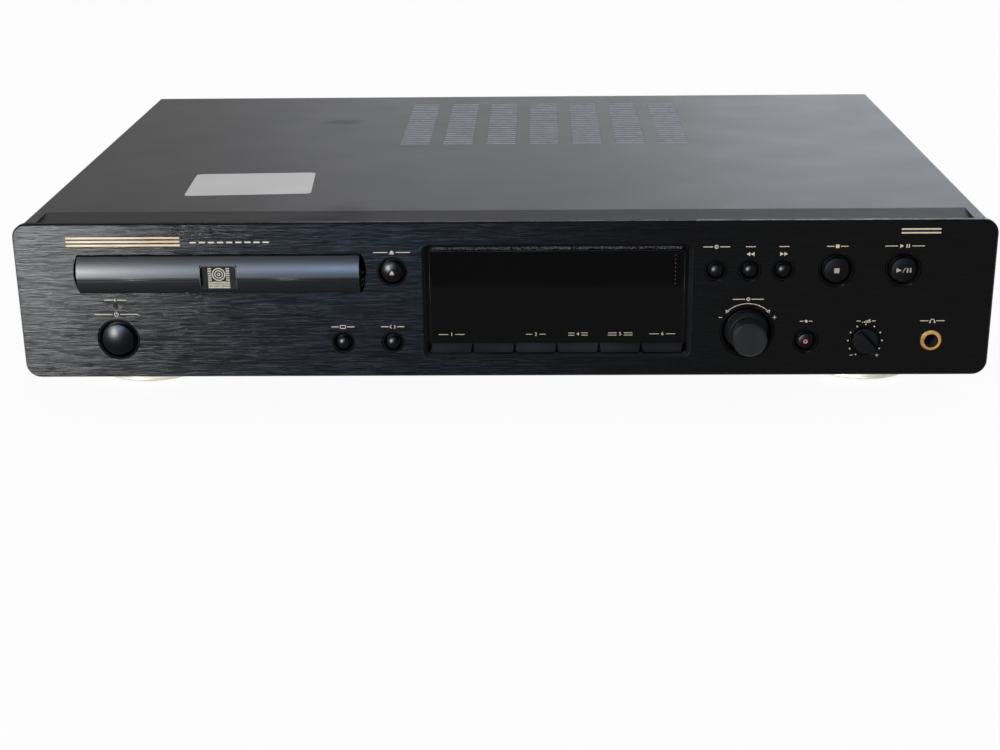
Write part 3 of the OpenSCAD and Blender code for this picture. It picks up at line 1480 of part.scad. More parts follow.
// Two-pin mains inlet with a figure-of-eight recess
module mains_inlet() placed() color("#161616") {
  difference() {
    union() {
      block(
        inlet_x - inlet_half_w, inlet_x + inlet_half_w, inlet_front_y, mouth_y,
        inlet_z - inlet_half_h, inlet_z + inlet_half_h
      );
      block(
        inlet_x - inlet_half_w - 3, inlet_x + inlet_half_w + 3, rear_face_y, mouth_y,
        inlet_z - inlet_half_h - 2.5, inlet_z + inlet_half_h + 2.5
      );
    }
    for (s = [-1, 1])
      bar_y(inlet_x + s * inlet_pin_dx, inlet_z, mouth_y - inlet_depth, mouth_y + eps, 4.2);
    block(
      inlet_x - inlet_pin_dx, inlet_x + inlet_pin_dx, mouth_y - inlet_depth, mouth_y + eps,
      inlet_z - 3.2, inlet_z + 3.2
    );
  }
  for (s = [-1, 1])
    bar_y(inlet_x + s * inlet_pin_dx, inlet_z, mouth_y - inlet_depth, mouth_y - 2, 1.2);
}

// Buttons, keys and knobs

// Round button: its spot, crown radius of the cap, height over the panel, end and radius of the stem
module push_button(s, crown_r, proud, stem_y, stem_r = 1.6) {
  intersection() {
    bar_y(s[0], s[1], -proud, collar_y + 0.1, s[3]);
    translate([s[0], crown_r - proud, s[1]]) sphere(crown_r);
  }
  bar_y(s[0], s[1], min(crown_r - proud, 1), collar_y + 0.1, s[3]);
  bar_y(s[0], s[1], collar_y, collar_y + 1, s[3] + 1.2);
  bar_y(s[0], s[1], collar_y + 0.9, stem_y, stem_r);
}

module power_button() placed() color("#191a1c") push_button(power_spot, 16, 2.6, mains_switch_y + 2, 4);
module open_close_button() placed() color("#191a1c") push_button(tray_spot, 9, 1.8, stem_y);
module display_button() placed() color("#191a1c") push_button(display_spot, 4.2, 1.7, stem_y);
module scroll_button() placed() color("#191a1c") push_button(scroll_spot, 4.2, 1.7, stem_y);
module disc_type_button() placed() color("#191a1c") push_button(disc_type_spot, 4.2, 1.7, stem_y);
module rewind_button() placed() color("#191a1c") push_button(rewind_spot, 4.2, 1.7, stem_y);
module fast_forward_button() placed() color("#191a1c") push_button(forward_spot, 4.2, 1.7, stem_y);
module stop_button() placed() color("#191a1c") push_button(stop_spot, 24, 1.4, stem_y);
module play_pause_button() placed() color("#191a1c") push_button(play_spot, 24, 1.4, stem_y);
module record_button() placed() color("#191a1c") push_button(record_spot, 9, 1.2, stem_y);

// Wedge key below the window, with the number counted from the left
module wedge_key(k) placed() color("#1e1f22") {
  half = key_pitch / 2;
  intersection() {
    translate([key_x(k), key_back_y, 0]) rotate([90, 0, 0]) linear_extrude(key_back_y)
      polygon([
        [key_gap_foot / 2 - half, key_z0], [half - key_gap_foot / 2, key_z0],
        [half - key_gap_top / 2, key_z1], [key_gap_top / 2 - half, key_z1],
      ]);
    translate([key_x(k) - half, 0, 0]) rotate([90, 0, 90]) linear_extrude(2 * half)
      polygon([
        [key_y, key_z0], [key_back_y, key_z0], [key_back_y, key_z1], [panel_t, key_z1],
        [key_y, key_z0 + 1.2],
      ]);
  }
  block(
    key_x(k) - key_stem_w / 2, key_x(k) + key_stem_w / 2, key_back_y - 0.1,
    switch_y - key_travel - 0.1, key_stem_z - key_stem_h / 2, key_stem_z + key_stem_h / 2
  );
}

module jog_knob() placed() color("#17181a") {
  turned_y(jog_x, jog_z) polygon([
    [0, -jog_proud], [jog_face_r - 0.6, -jog_proud], [jog_face_r, 0.6 - jog_proud],
    [jog_face_r + 0.5, -2.6], [jog_base_r, -0.6], [jog_base_r, frame_y + 0.6], [0, frame_y + 0.6],
  ]);
  bar_y(jog_x, jog_z, frame_y, front_board_y - 1.5, shaft_r);
}

module level_knob() placed() color("#17181a") {
  turned_y(level_x, lower_row_z) polygon([
    [0, -1.6], [level_r - 0.5, -1.6], [level_r, -1.1], [level_r, frame_y + 0.6], [0, frame_y + 0.6],
  ]);
  translate([level_x, 0, lower_row_z]) rotate([0, -level_angle, 0]) intersection() {
    bar_y(0, 0, -level_proud, 0, level_r - 0.2);
    translate([-level_r, 0, 0]) rotate([90, 0, 90]) linear_extrude(2 * level_r) polygon([
      [-level_proud, -level_grip_w / 2 + 0.6], [-level_proud, level_grip_w / 2 - 0.6],
      [-1.5, level_grip_w / 2], [-1.5, -level_grip_w / 2],
    ]);
  }
  bar_y(level_x, lower_row_z, frame_y, front_board_y - 1.5, shaft_r);
}

front_panel();
front_frame();
display_window();
display_tube();
front_board();
control_switches();
rotary_controls();
headphone_jack();
standby_lamp();
top_cover();
chassis_base();
rear_panel();
feet();
foot_rings();
cover_screws();
loader_frame();
clamp_bridge();
clamp_disc();
loading_motor();
motor_pulley();
drive_belt();
pulley_gear();
drive_gear();
disc_tray();
tray_door();
tray_badge();
traverse_deck();
guide_rods();
deck_motors();
turntable();
lead_screw();
optical_pickup();
objective_lens();
main_board();
power_board();
transformer();
board_parts();
heatsink();
ribbon_cables();
rca_sockets();
optical_sockets();
mains_inlet();
power_button();
open_close_button();
display_button();
scroll_button();
disc_type_button();
rewind_button();
fast_forward_button();
stop_button();
play_pause_button();
record_button();
wedge_key(0);  // source_key
wedge_key(1);  // spare_key
wedge_key(2);  // erase_key
wedge_key(3);  // store_key
wedge_key(4);  // cancel_key
wedge_key(5);  // finalize_key
jog_knob();
level_knob();
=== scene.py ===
import math

import bmesh
import bpy
from mathutils import Matrix, Vector


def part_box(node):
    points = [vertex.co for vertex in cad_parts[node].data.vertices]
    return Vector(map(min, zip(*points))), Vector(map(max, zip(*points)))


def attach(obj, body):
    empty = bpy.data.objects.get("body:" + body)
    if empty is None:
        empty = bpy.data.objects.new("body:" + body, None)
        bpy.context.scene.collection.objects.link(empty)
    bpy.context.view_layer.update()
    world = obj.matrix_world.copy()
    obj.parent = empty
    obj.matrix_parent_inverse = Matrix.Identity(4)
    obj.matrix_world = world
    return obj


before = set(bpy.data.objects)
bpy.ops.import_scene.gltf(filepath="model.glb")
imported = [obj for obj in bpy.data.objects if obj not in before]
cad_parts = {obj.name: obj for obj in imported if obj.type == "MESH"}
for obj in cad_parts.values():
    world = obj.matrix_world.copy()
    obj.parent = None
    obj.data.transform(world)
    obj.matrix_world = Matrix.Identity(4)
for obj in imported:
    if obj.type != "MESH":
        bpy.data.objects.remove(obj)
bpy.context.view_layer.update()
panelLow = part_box("front_panel")[0]
finishes = {}


def at(x, y, z):
    # millimetres from the panel's middle, face and foot
    return Vector((x / 1000, panelLow.y + y / 1000, panelLow.z + z / 1000))


# Node helpers

def feed(tree, socket, value):
    if isinstance(value, bpy.types.NodeSocket):
        tree.links.new(value, socket)
    elif socket.type == "RGBA":
        socket.default_value = (*value, 1)
    else:
        socket.default_value = value


def put(tree, kind, inputs=None, **settings):
    node = tree.nodes.new(kind)
    for name, value in settings.items():
        setattr(node, name, value)
    for name, value in (inputs or {}).items():
        feed(tree, node.inputs[name], value)
    return node


def setShader(tree, shader, inputs):
    for name, value in inputs.items():
        feed(tree, shader.inputs[name], value)


def startMaterial(name):
    material = bpy.data.materials.new(name)
    material.use_nodes = True
    finishes[name] = material
    tree = material.node_tree
    return tree, tree.nodes["Principled BSDF"], put(tree, "ShaderNodeTexCoord").outputs["Object"]


def noise(tree, place, scale, detail=2, stretch=(1, 1, 1), turn=(0, 0, 0)):
    spot = put(tree, "ShaderNodeMapping", {"Vector": place, "Scale": stretch, "Rotation": turn})
    return put(tree, "ShaderNodeTexNoise", {
        "Vector": spot.outputs[0], "Scale": scale, "Detail": detail}).outputs["Fac"]


def spread(tree, value, low, high, start=0.3, end=0.7):
    return put(tree, "ShaderNodeMapRange", {
        "Value": value, "From Min": start, "From Max": end, "To Min": low, "To Max": high,
    }).outputs["Result"]


def mixed(tree, amount, first, second):
    # 6 and 7 are the colour sockets
    return put(tree, "ShaderNodeMix", data_type="RGBA", inputs={
        "Factor": amount, 6: first, 7: second}).outputs[2]


def twoTone(tree, amount, look):
    return mixed(tree, spread(tree, amount, 0, 1), look["colour"], look["second"])


def maths(tree, operation, first, second=0.0):
    return put(tree, "ShaderNodeMath", {0: first, 1: second}, operation=operation).outputs[0]


def bumped(tree, shader, height, strength, depth):
    bump = put(tree, "ShaderNodeBump", {"Height": height, "Strength": strength, "Distance": depth})
    tree.links.new(bump.outputs["Normal"], shader.inputs["Normal"])


def partOf(tree, place, axis):
    return put(tree, "ShaderNodeSeparateXYZ", {"Vector": place}).outputs[axis]


# Finishes that are an even colour with patches, a fine grain and a changing gloss
def plainFinish(name, look):
    tree, shader, place = startMaterial(name)
    patches = noise(tree, place, look.get("patch", 40), 4, look.get("stretch", (1, 1, 1)))
    fine = noise(tree, place, look.get("grain", 1500), 2)
    setShader(tree, shader, {
        "Base Color": twoTone(tree, patches, look),
        "Roughness": maths(tree, "ADD", spread(tree, patches, *look["rough"]), spread(tree, fine, -0.02, 0.02)),
        "Metallic": look.get("metal", 0.0), "IOR": look.get("ior", 1.45), **look.get("more", {}),
    })
    bumped(tree, shader, fine, look.get("bump", 0.15), look.get("depth", 0.0001))


# Brushed metal: fine lines along X and highlights that stretch up and down
def brushedFinish(name, look):
    tree, shader, place = startMaterial(name)
    long = noise(tree, place, look["line"], 3, look["along"])
    short = noise(tree, place, look["line"] * 2.7, 2, look["along"])
    patches = noise(tree, place, look["patch"], 3)
    lines = mixed(tree, 0.5, long, short)
    ior = look["ior"]
    if "lowerIor" in look:
        # less gloss under a height
        height, soft = partOf(tree, place, "Z"), 0.0002
        ior = spread(tree, height, look["lowerIor"], ior, look["split"] - soft, look["split"] + soft)
    if "topIor" in look:
        # less gloss where the face looks up
        facing = partOf(tree, put(tree, "ShaderNodeNewGeometry").outputs["Normal"], "Z")
        ior = spread(tree, facing, ior, look["topIor"], 0.5, 0.9)
    upward = put(tree, "ShaderNodeVectorTransform", {"Vector": (0, 0, 1)},
                 vector_type="VECTOR", convert_from="OBJECT", convert_to="WORLD")
    setShader(tree, shader, {
        "Base Color": twoTone(tree, lines, look),
        "Roughness": maths(tree, "ADD", spread(tree, lines, *look["rough"], 0.35, 0.65),
                           spread(tree, patches, -0.015, 0.015)),
        "IOR": ior, "Anisotropic": look["anisotropy"], "Tangent": upward.outputs[0],
    })
    bumped(tree, shader, lines, look["bump"], look["depth"])


# Materials

print("materials")

# Black anodised front: the dye leaves little gloss, and the brushing shows where light falls on it
panelLook = {
    "line": 85, "along": (1, 1, 28), "colour": (0.0003, 0.0004, 0.0005), "second": (0.0024, 0.0026, 0.0032),
    "rough": (0.1, 0.32), "bump": 1.0, "depth": 0.00007, "ior": 1.17, "anisotropy": 0.97, "patch": 9,
    "topIor": 1.05,
}
doorLook = {
    "line": 60, "along": (1, 1, 28), "colour": (0.008, 0.0086, 0.0095), "second": (0.011, 0.0118, 0.013),
    "rough": (0.34, 0.38), "bump": 0.3, "depth": 0.00004, "ior": 1.19, "anisotropy": 0.8,
    "patch": 9, "lowerIor": 1.11, "split": panelLow.z + 0.0486,
}
brushedFinish("panel", panelLook)
brushedFinish("door", doorLook)

# Cover: satin black lacquer with hand marks and settled dust
coverLook = {
    "colour": (0.015, 0.0145, 0.0155), "second": (0.024, 0.0235, 0.0255), "rough": (0.465, 0.495), "ior": 1.15,
    "grain": 2600, "bump": 0.5, "depth": 0.00005, "smear": 7, "wipe": 35,
    "speck": 260, "speckPatch": 120, "speckSize": (0.03, 0.14), "dustMost": 0.55, "dust": (0.085, 0.082, 0.08),
    "smudge": 15, "smudgeMost": 0.8, "smudgeColour": (0.005, 0.005, 0.0055), "smudgeRough": 0.08,
}


def coverFinish(name, look):
    tree, shader, place = startMaterial(name)
    fine = noise(tree, place, look["grain"], 2)
    patches = noise(tree, place, look["smear"], 4, (1, 1.6, 1), (0, 0, 0.5))
    wipes = noise(tree, place, look["wipe"], 4, (0.8, 1.3, 1), (0, 0, 0.7))
    specks = put(tree, "ShaderNodeTexVoronoi", {"Vector": place, "Scale": look["speck"]})
    size = spread(tree, noise(tree, place, look["speckPatch"], 1), *look["speckSize"])
    dusty = maths(tree, "LESS_THAN", specks.outputs["Distance"], size)
    settled = maths(tree, "MULTIPLY", dusty, spread(tree, patches, 0.0, look["dustMost"], 0.45, 0.75))
    smudges = spread(tree, noise(tree, place, look["smudge"], 3, (0.6, 1.2, 1), (0, 0, -0.4)),
                     0.0, look["smudgeMost"], 0.67, 0.74)
    ground = mixed(tree, smudges, twoTone(tree, patches, look), look["smudgeColour"])
    setShader(tree, shader, {
        "Base Color": mixed(tree, settled, ground, look["dust"]),
        "Roughness": maths(tree, "ADD", maths(tree, "MULTIPLY", smudges, look["smudgeRough"]), maths(
            tree, "ADD", spread(tree, wipes, *look["rough"]), spread(tree, patches, -0.01, 0.01))),
        "IOR": look["ior"],
    })
    bumped(tree, shader, fine, look["bump"], look["depth"])


coverFinish("cover", coverLook)

# Smoked window: nearly black, with faint wipe marks in its gloss
windowLook = {
    "colour": (0.0005, 0.0003, 0.0006), "second": (0.001, 0.0007, 0.0012), "rough": (0.05, 0.09), "ior": 1.13,
    "lower": (0.0036, 0.0034, 0.004), "edge": panelLow.z + 0.0425, "soft": 0.0015, "wipe": 26,
}


def windowFinish(name, look):
    tree, shader, place = startMaterial(name)
    wipes = noise(tree, place, look["wipe"], 4, (1, 1, 0.5), (0, 0.6, 0))
    height = partOf(tree, place, "Z")
    below = spread(tree, height, 1.0, 0.0, look["edge"] - look["soft"], look["edge"] + look["soft"])
    setShader(tree, shader, {
        "Base Color": mixed(tree, below, twoTone(tree, wipes, look), look["lower"]),
        "Roughness": spread(tree, wipes, *look["rough"]), "IOR": look["ior"],
    })


windowFinish("window", windowLook)

# Plain finishes: the grain of inks and of thin paint comes back in several
inkGrain = {"grain": 4000, "bump": 0.1, "depth": 0.00002}
paintGrain = {"grain": 3600, "bump": 0.15, "depth": 0.00003}
plainLooks = {
    "frame": {"colour": (0.0025, 0.0025, 0.003), "second": (0.0045, 0.0045, 0.005), "rough": (0.2, 0.27),
              "ior": 1.17, "grain": 3000, "bump": 0.2, "depth": 0.00005},
    "button": {"colour": (0.0022, 0.0023, 0.0032), "second": (0.004, 0.0042, 0.0058), "rough": (0.3, 0.35),
               "ior": 1.12, "grain": 4200, "bump": 0.12, "depth": 0.00003},
    "key": {"colour": (0.0018, 0.0018, 0.0024), "second": (0.003, 0.003, 0.004), "rough": (0.26, 0.34),
            "ior": 1.15, "grain": 4200, "depth": 0.00003},
    "knob": {"colour": (0.005, 0.0056, 0.0064), "second": (0.0085, 0.0092, 0.0102), "rough": (0.34, 0.42),
             "ior": 1.17, "grain": 3600, "bump": 0.25, "depth": 0.00005},
    "darkKnob": {"colour": (0.0016, 0.0017, 0.002), "second": (0.003, 0.0032, 0.0038), "rough": (0.36, 0.44),
                 "ior": 1.13, "grain": 3600, "bump": 0.2, "depth": 0.00005},
    "lamp": {"colour": (0.012, 0.003, 0.003), "second": (0.018, 0.004, 0.004), "rough": (0.12, 0.2),
             "ior": 1.3},
    "zinc": {"colour": (0.52, 0.53, 0.52), "second": (0.62, 0.62, 0.6), "rough": (0.28, 0.42), "metal": 1.0,
             "patch": 90, "grain": 700, "bump": 0.2},
    "rear": {"colour": (0.014, 0.014, 0.015), "second": (0.022, 0.022, 0.024), "rough": (0.42, 0.52),
             "ior": 1.3, "grain": 2600, "bump": 0.35, "depth": 0.00006},
    "foot": {"colour": (0.012, 0.012, 0.013), "second": (0.02, 0.02, 0.021), "rough": (0.45, 0.6), "ior": 1.35,
             "grain": 1800, "bump": 0.4},
    "screw": {"colour": (0.05, 0.05, 0.055), "second": (0.09, 0.09, 0.1), "rough": (0.28, 0.4), "metal": 1.0,
              "patch": 600, "grain": 4000, "depth": 0.00004},
    "loader": {"colour": (0.016, 0.016, 0.017), "second": (0.024, 0.024, 0.025), "rough": (0.4, 0.55),
               "ior": 1.4, "grain": 1600, "bump": 0.35},
    "steel": {"colour": (0.5, 0.5, 0.5), "second": (0.64, 0.64, 0.63), "rough": (0.2, 0.34), "metal": 1.0,
              "patch": 60, "stretch": (1, 6, 1), "grain": 900, "bump": 0.12, "depth": 0.00006},
    "motor": {"colour": (0.42, 0.43, 0.45), "second": (0.56, 0.56, 0.57), "rough": (0.25, 0.4), "metal": 1.0,
              "patch": 120, "grain": 1400, "bump": 0.18, "depth": 0.00006},
    "whitePlastic": {"colour": (0.66, 0.63, 0.55), "second": (0.76, 0.74, 0.67), "rough": (0.38, 0.5),
                     "ior": 1.5, "grain": 1400, "depth": 0.00006,
                     "more": {"Subsurface Weight": 0.08, "Subsurface Scale": 0.002}},
    "belt": {"colour": (0.008, 0.008, 0.008), "second": (0.02, 0.02, 0.02), "rough": (0.5, 0.7), "ior": 1.4,
             "grain": 2200, "bump": 0.5, "depth": 0.00006},
    "tray": {"colour": (0.018, 0.018, 0.02), "second": (0.028, 0.028, 0.03), "rough": (0.42, 0.52), "ior": 1.4,
             "grain": 2400, "bump": 0.45, "depth": 0.00008},
    "deck": {"colour": (0.022, 0.022, 0.024), "second": (0.034, 0.034, 0.036), "rough": (0.4, 0.52),
             "ior": 1.42, "bump": 0.3},
    "platter": {"colour": (0.02, 0.02, 0.02), "second": (0.035, 0.035, 0.035), "rough": (0.5, 0.65), "ior": 1.4,
                "grain": 2600, "bump": 0.5, "depth": 0.00006},
    "pickup": {"colour": (0.1, 0.1, 0.105), "second": (0.17, 0.17, 0.175), "rough": (0.35, 0.5), "metal": 0.6,
               "patch": 200, "grain": 1800, "bump": 0.4},
    "switch": {"colour": (0.03, 0.03, 0.032), "second": (0.05, 0.05, 0.052), "rough": (0.4, 0.5), "patch": 160},
    "controlBody": {"colour": (0.3, 0.31, 0.32), "second": (0.42, 0.43, 0.44), "rough": (0.3, 0.42),
                    "metal": 1.0, "patch": 200, "grain": 1700},
    "optical": {"colour": (0.012, 0.012, 0.013), "second": (0.02, 0.02, 0.021), "rough": (0.35, 0.45),
                "grain": 2600, "bump": 0.25, "depth": 0.00006},
    "inlet": {"colour": (0.012, 0.012, 0.0125), "second": (0.019, 0.019, 0.02), "rough": (0.38, 0.48),
              "grain": 2200, "bump": 0.3, "depth": 0.00008},
    "print": {"colour": (0.6, 0.51, 0.33), "second": (0.72, 0.63, 0.44), "rough": (0.5, 0.6), "ior": 1.3,
              "patch": 700, **inkGrain},
    "goldPrint": {"colour": (0.5, 0.27, 0.05), "second": (0.82, 0.6, 0.2), "rough": (0.3, 0.4), "ior": 1.4,
                  "patch": 60, **inkGrain},
    "dullGold": {"colour": (0.24, 0.2, 0.08), "second": (0.36, 0.31, 0.15), "rough": (0.35, 0.45), "ior": 1.4,
                 "patch": 900, **inkGrain},
    "capPrint": {"colour": (0.34, 0.28, 0.2), "second": (0.44, 0.37, 0.27), "rough": (0.5, 0.6), "ior": 1.3,
                 "patch": 700, **inkGrain},
    "redDot": {"colour": (0.42, 0.012, 0.01), "second": (0.52, 0.03, 0.02), "rough": (0.4, 0.5), "patch": 900},
    "redInsert": {"colour": (0.5, 0.02, 0.018), "second": (0.6, 0.04, 0.03), "rough": (0.35, 0.45), "ior": 1.48,
                  "patch": 300, "grain": 2400},
    "whiteInsert": {"colour": (0.68, 0.67, 0.64), "second": (0.78, 0.77, 0.74), "rough": (0.35, 0.45),
                    "ior": 1.48, "patch": 300, "grain": 2400},
    # painted highlight: pale blue-grey where the vents' edges catch the light
    "lip": {"colour": (0.22, 0.238, 0.285), "second": (0.36, 0.385, 0.45), "rough": (0.45, 0.55), "ior": 1.3,
            "patch": 300, "grain": 3600, "bump": 0.2, "depth": 0.00003},
    # painted highlight: lighter lines along the door's grooves
    "edge": {"colour": (0.02, 0.021, 0.026), "second": (0.04, 0.042, 0.05), "rough": (0.28, 0.36), "ior": 1.25,
             "patch": 120, **paintGrain},
    "bevel": {"colour": (0.0015, 0.0016, 0.0022), "second": (0.003, 0.0032, 0.0042), "rough": (0.3, 0.38),
              "ior": 1.15, "patch": 60, **paintGrain},
    # painted reflection: bluish, for the sky and the floor seen in the window's slopes
    "skyReflection": {"colour": (0.01, 0.012, 0.024), "second": (0.018, 0.021, 0.04), "rough": (0.4, 0.5), "ior": 1.1,
            "patch": 50, **paintGrain},
    "chip": {"colour": (0.55, 0.55, 0.56), "second": (0.75, 0.75, 0.76), "rough": (0.35, 0.5), "metal": 0.5,
             "patch": 900, "grain": 5000, "bump": 0.4, "depth": 0.00005},
    "badgePlate": {"colour": (0.003, 0.0032, 0.0038), "second": (0.005, 0.0054, 0.006), "rough": (0.3, 0.36),
                   "ior": 1.12, "patch": 160, "grain": 3600, "bump": 0.1, "depth": 0.00003},
    # painted highlight: a lighter line round the badge plate's recess
    "rim": {"colour": (0.05, 0.052, 0.058), "second": (0.09, 0.093, 0.1), "rough": (0.4, 0.5), "ior": 1.2,
            "patch": 300, **inkGrain},
    # painted highlight: thin lighter lines on the window's rim, the lens's edges and the cover's front bend
    "faintHighlight": {"colour": (0.012, 0.013, 0.018), "second": (0.022, 0.024, 0.032), "rough": (0.4, 0.5), "ior": 1.1,
              "patch": 300, **inkGrain},
    "segment": {"colour": (0.1, 0.006, 0.01), "second": (0.16, 0.01, 0.014), "rough": (0.4, 0.5), "ior": 1.3,
                "patch": 900},
    "dust": {"colour": (0.1, 0.105, 0.14), "second": (0.26, 0.28, 0.34), "rough": (0.7, 0.9), "ior": 1.4,
             "patch": 900, "grain": 5000, "bump": 0.5, "depth": 0.00008},
    "objective": {"colour": (0.02, 0.03, 0.06), "second": (0.03, 0.05, 0.1), "rough": (0.02, 0.06), "ior": 1.7,
                  "patch": 300},
}
for name, look in plainLooks.items():
    plainFinish(name, look)

# Pale gold plate with turned rings, on the feet
goldLook = {"colour": (0.42, 0.415, 0.34), "second": (0.62, 0.6, 0.5), "rough": (0.2, 0.34), "rings": 240,
            "patch": 70, "anisotropy": 0.4, "bump": 0.2, "depth": 0.00004}


def goldFinish(name, look):
    tree, shader, place = startMaterial(name)
    lines = noise(tree, place, look["rings"], 3, (0.2, 0.2, 9))
    setShader(tree, shader, {
        "Base Color": twoTone(tree, noise(tree, place, look["patch"], 2), look),
        "Roughness": spread(tree, lines, *look["rough"]), "Metallic": 1.0, "Anisotropic": look["anisotropy"],
    })
    bumped(tree, shader, lines, look["bump"], look["depth"])


goldFinish("footRing", goldLook)

# Two finishes on one piece, parted at a depth: the headphone socket's brass rim before its black bore (partly
# painted shade in the recess), and the phono sockets' nickel sleeves behind their moulding
partedLooks = {
    # the bore behind the rim is near black: partly its own colour, partly painted shade in the recess
    "jack": {"edge": panelLow.y + 0.0014, "front": ((0.24, 0.12, 0.03), (0.5, 0.3, 0.1)),
             "back": ((0.008, 0.008, 0.008), (0.014, 0.014, 0.014)), "metal": (1, 0), "rough": (0.16, 0.26),
             "rougher": 0.15, "patch": 160, "grain": 2200, "bump": 0.15, "depth": 0.00005},
    "socket": {"edge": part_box("rear_panel")[1].y + 0.0002,
               "front": ((0.012, 0.012, 0.013), (0.02, 0.02, 0.021)),
               "back": ((0.62, 0.58, 0.5), (0.74, 0.7, 0.62)), "metal": (0, 1), "rough": (0.16, 0.28),
               "rougher": 0.0, "patch": 260, "grain": 2200, "bump": 0.0, "depth": 0.00005},
}


def partedFinish(name, look):
    tree, shader, place = startMaterial(name)
    behind = maths(tree, "GREATER_THAN", partOf(tree, place, "Y"), look["edge"])
    patches = noise(tree, place, look["patch"], 2)
    setShader(tree, shader, {
        "Base Color": mixed(tree, behind, mixed(tree, patches, *look["front"]),
                            mixed(tree, patches, *look["back"])),
        "Metallic": spread(tree, behind, *look["metal"], 0, 1),
        "Roughness": maths(tree, "ADD", spread(tree, patches, *look["rough"]),
                           maths(tree, "MULTIPLY", behind, look["rougher"])),
    })
    bumped(tree, shader, noise(tree, place, look["grain"], 2), look["bump"], look["depth"])


for name, look in partedLooks.items():
    partedFinish(name, look)

# Circuit boards: green lacquer over copper tracks, and the bare brown board of the power side
boardLooks = {
    "circuitBoard": {"ground": (0.012, 0.07, 0.028), "track": (0.03, 0.14, 0.06), "scale": 34, "pad": 0.16,
                     "rough": (0.25, 0.35), "patch": 30, "bump": 0.3, "depth": 0.00004},
    "powerBoard": {"ground": (0.3, 0.19, 0.08), "track": (0.4, 0.27, 0.13), "scale": 18, "pad": 0.16,
                   "rough": (0.4, 0.55), "patch": 30, "bump": 0.3, "depth": 0.00004},
}


def boardFinish(name, look):
    tree, shader, place = startMaterial(name)
    bricks = put(tree, "ShaderNodeTexBrick", {
        "Vector": place, "Scale": look["scale"], "Mortar Size": 0.035, "Mortar Smooth": 0.2,
        "Brick Width": 0.7, "Row Height": 0.16}, offset=0.37, squash=0.6, squash_frequency=3)
    cells = put(tree, "ShaderNodeTexVoronoi", {
        "Vector": place, "Scale": look["scale"] * 9}, distance="CHEBYCHEV")
    pads = maths(tree, "LESS_THAN", cells.outputs["Distance"], look["pad"])
    copper = maths(tree, "MAXIMUM", bricks.outputs["Fac"], pads)
    setShader(tree, shader, {
        "Base Color": mixed(tree, copper, look["ground"], look["track"]),
        "Roughness": spread(tree, noise(tree, place, look["patch"], 2), *look["rough"]),
    })
    bumped(tree, shader, copper, look["bump"], look["depth"])


for name, look in boardLooks.items():
    boardFinish(name, look)

# Parts on the boards: each stands in its own cell, so sleeves, chips and cans differ
boardPartLook = {
    "chipTop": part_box("main_board")[1].z + 0.004, "chip": (0.014, 0.014, 0.015), "cell": 46,
    "sleeve": (0.012, 0.013, 0.03), "otherSleeve": (0.014, 0.014, 0.015), "rough": (0.3, 0.42),
    "ior": 1.45, "grain": 1800, "bump": 0.15, "depth": 0.00005,
}


def mixedParts(name, look):
    tree, shader, place = startMaterial(name)
    cells = put(tree, "ShaderNodeTexVoronoi", {"Vector": place, "Scale": look["cell"], "Randomness": 0.3})
    pick = maths(tree, "GREATER_THAN", partOf(tree, cells.outputs["Color"], "X"), 0.55)
    low = maths(tree, "LESS_THAN", partOf(tree, place, "Z"), look["chipTop"])
    fine = noise(tree, place, look["grain"], 2)
    setShader(tree, shader, {
        "Base Color": mixed(tree, low, mixed(tree, pick, look["sleeve"], look["otherSleeve"]), look["chip"]),
        "Roughness": spread(tree, fine, *look["rough"]), "IOR": look["ior"],
    })
    bumped(tree, shader, fine, look["bump"], look["depth"])


mixedParts("boardPart", boardPartLook)

# Stacked, wound or ribbed things: a wave along one axis for laminations, ribs or wires
bandedLooks = {
    "transformer": {"axis": "Z", "scale": 320, "colour": (0.05, 0.05, 0.055), "second": (0.16, 0.15, 0.14),
                    "rough": (0.35, 0.55), "metal": 0.7, "bump": 0.4, "depth": 0.0002},
    "heatsink": {"axis": "Z", "scale": 160, "colour": (0.3, 0.3, 0.31), "second": (0.42, 0.42, 0.43),
                 "rough": (0.35, 0.5), "metal": 1.0, "bump": 0.15, "depth": 0.0001, "wobble": 3.0},
    "ribbon": {"axis": "X", "scale": 260, "colour": (0.5, 0.5, 0.48), "second": (0.74, 0.74, 0.72),
               "rough": (0.4, 0.5), "metal": 0.0, "bump": 0.6, "depth": 0.0003},
    "tube": {"axis": "X", "scale": 200, "colour": (0.006, 0.007, 0.009), "second": (0.012, 0.014, 0.017),
             "rough": (0.04, 0.1), "metal": 0.0, "bump": 0.05, "depth": 0.00005},
    "screwThread": {"axis": "X", "scale": 500, "colour": (0.5, 0.5, 0.5), "second": (0.62, 0.62, 0.6),
                    "rough": (0.2, 0.3), "metal": 1.0, "bump": 0.5, "depth": 0.0003},
}


def bandedFinish(name, look):
    tree, shader, place = startMaterial(name)
    bands = put(tree, "ShaderNodeTexWave", {
        "Vector": place, "Scale": look["scale"], "Distortion": look.get("wobble", 0.2), "Detail": 2.0,
    }, bands_direction=look["axis"], wave_profile="SAW").outputs["Fac"]
    patches = noise(tree, place, 60, 3)
    setShader(tree, shader, {
        "Base Color": mixed(tree, bands, look["colour"], mixed(tree, patches, look["colour"], look["second"])),
        "Roughness": spread(tree, patches, *look["rough"]), "Metallic": look["metal"],
    })
    bumped(tree, shader, bands, look["bump"], look["depth"])


for name, look in bandedLooks.items():
    bandedFinish(name, look)

# Paper label: soft fibres and faint stains
paperLook = {"colour": (0.4, 0.39, 0.385), "second": (0.45, 0.44, 0.43), "rough": (0.6, 0.75), "ior": 1.4,
             "fibre": 900, "stain": 40, "bump": 0.35, "depth": 0.00005}


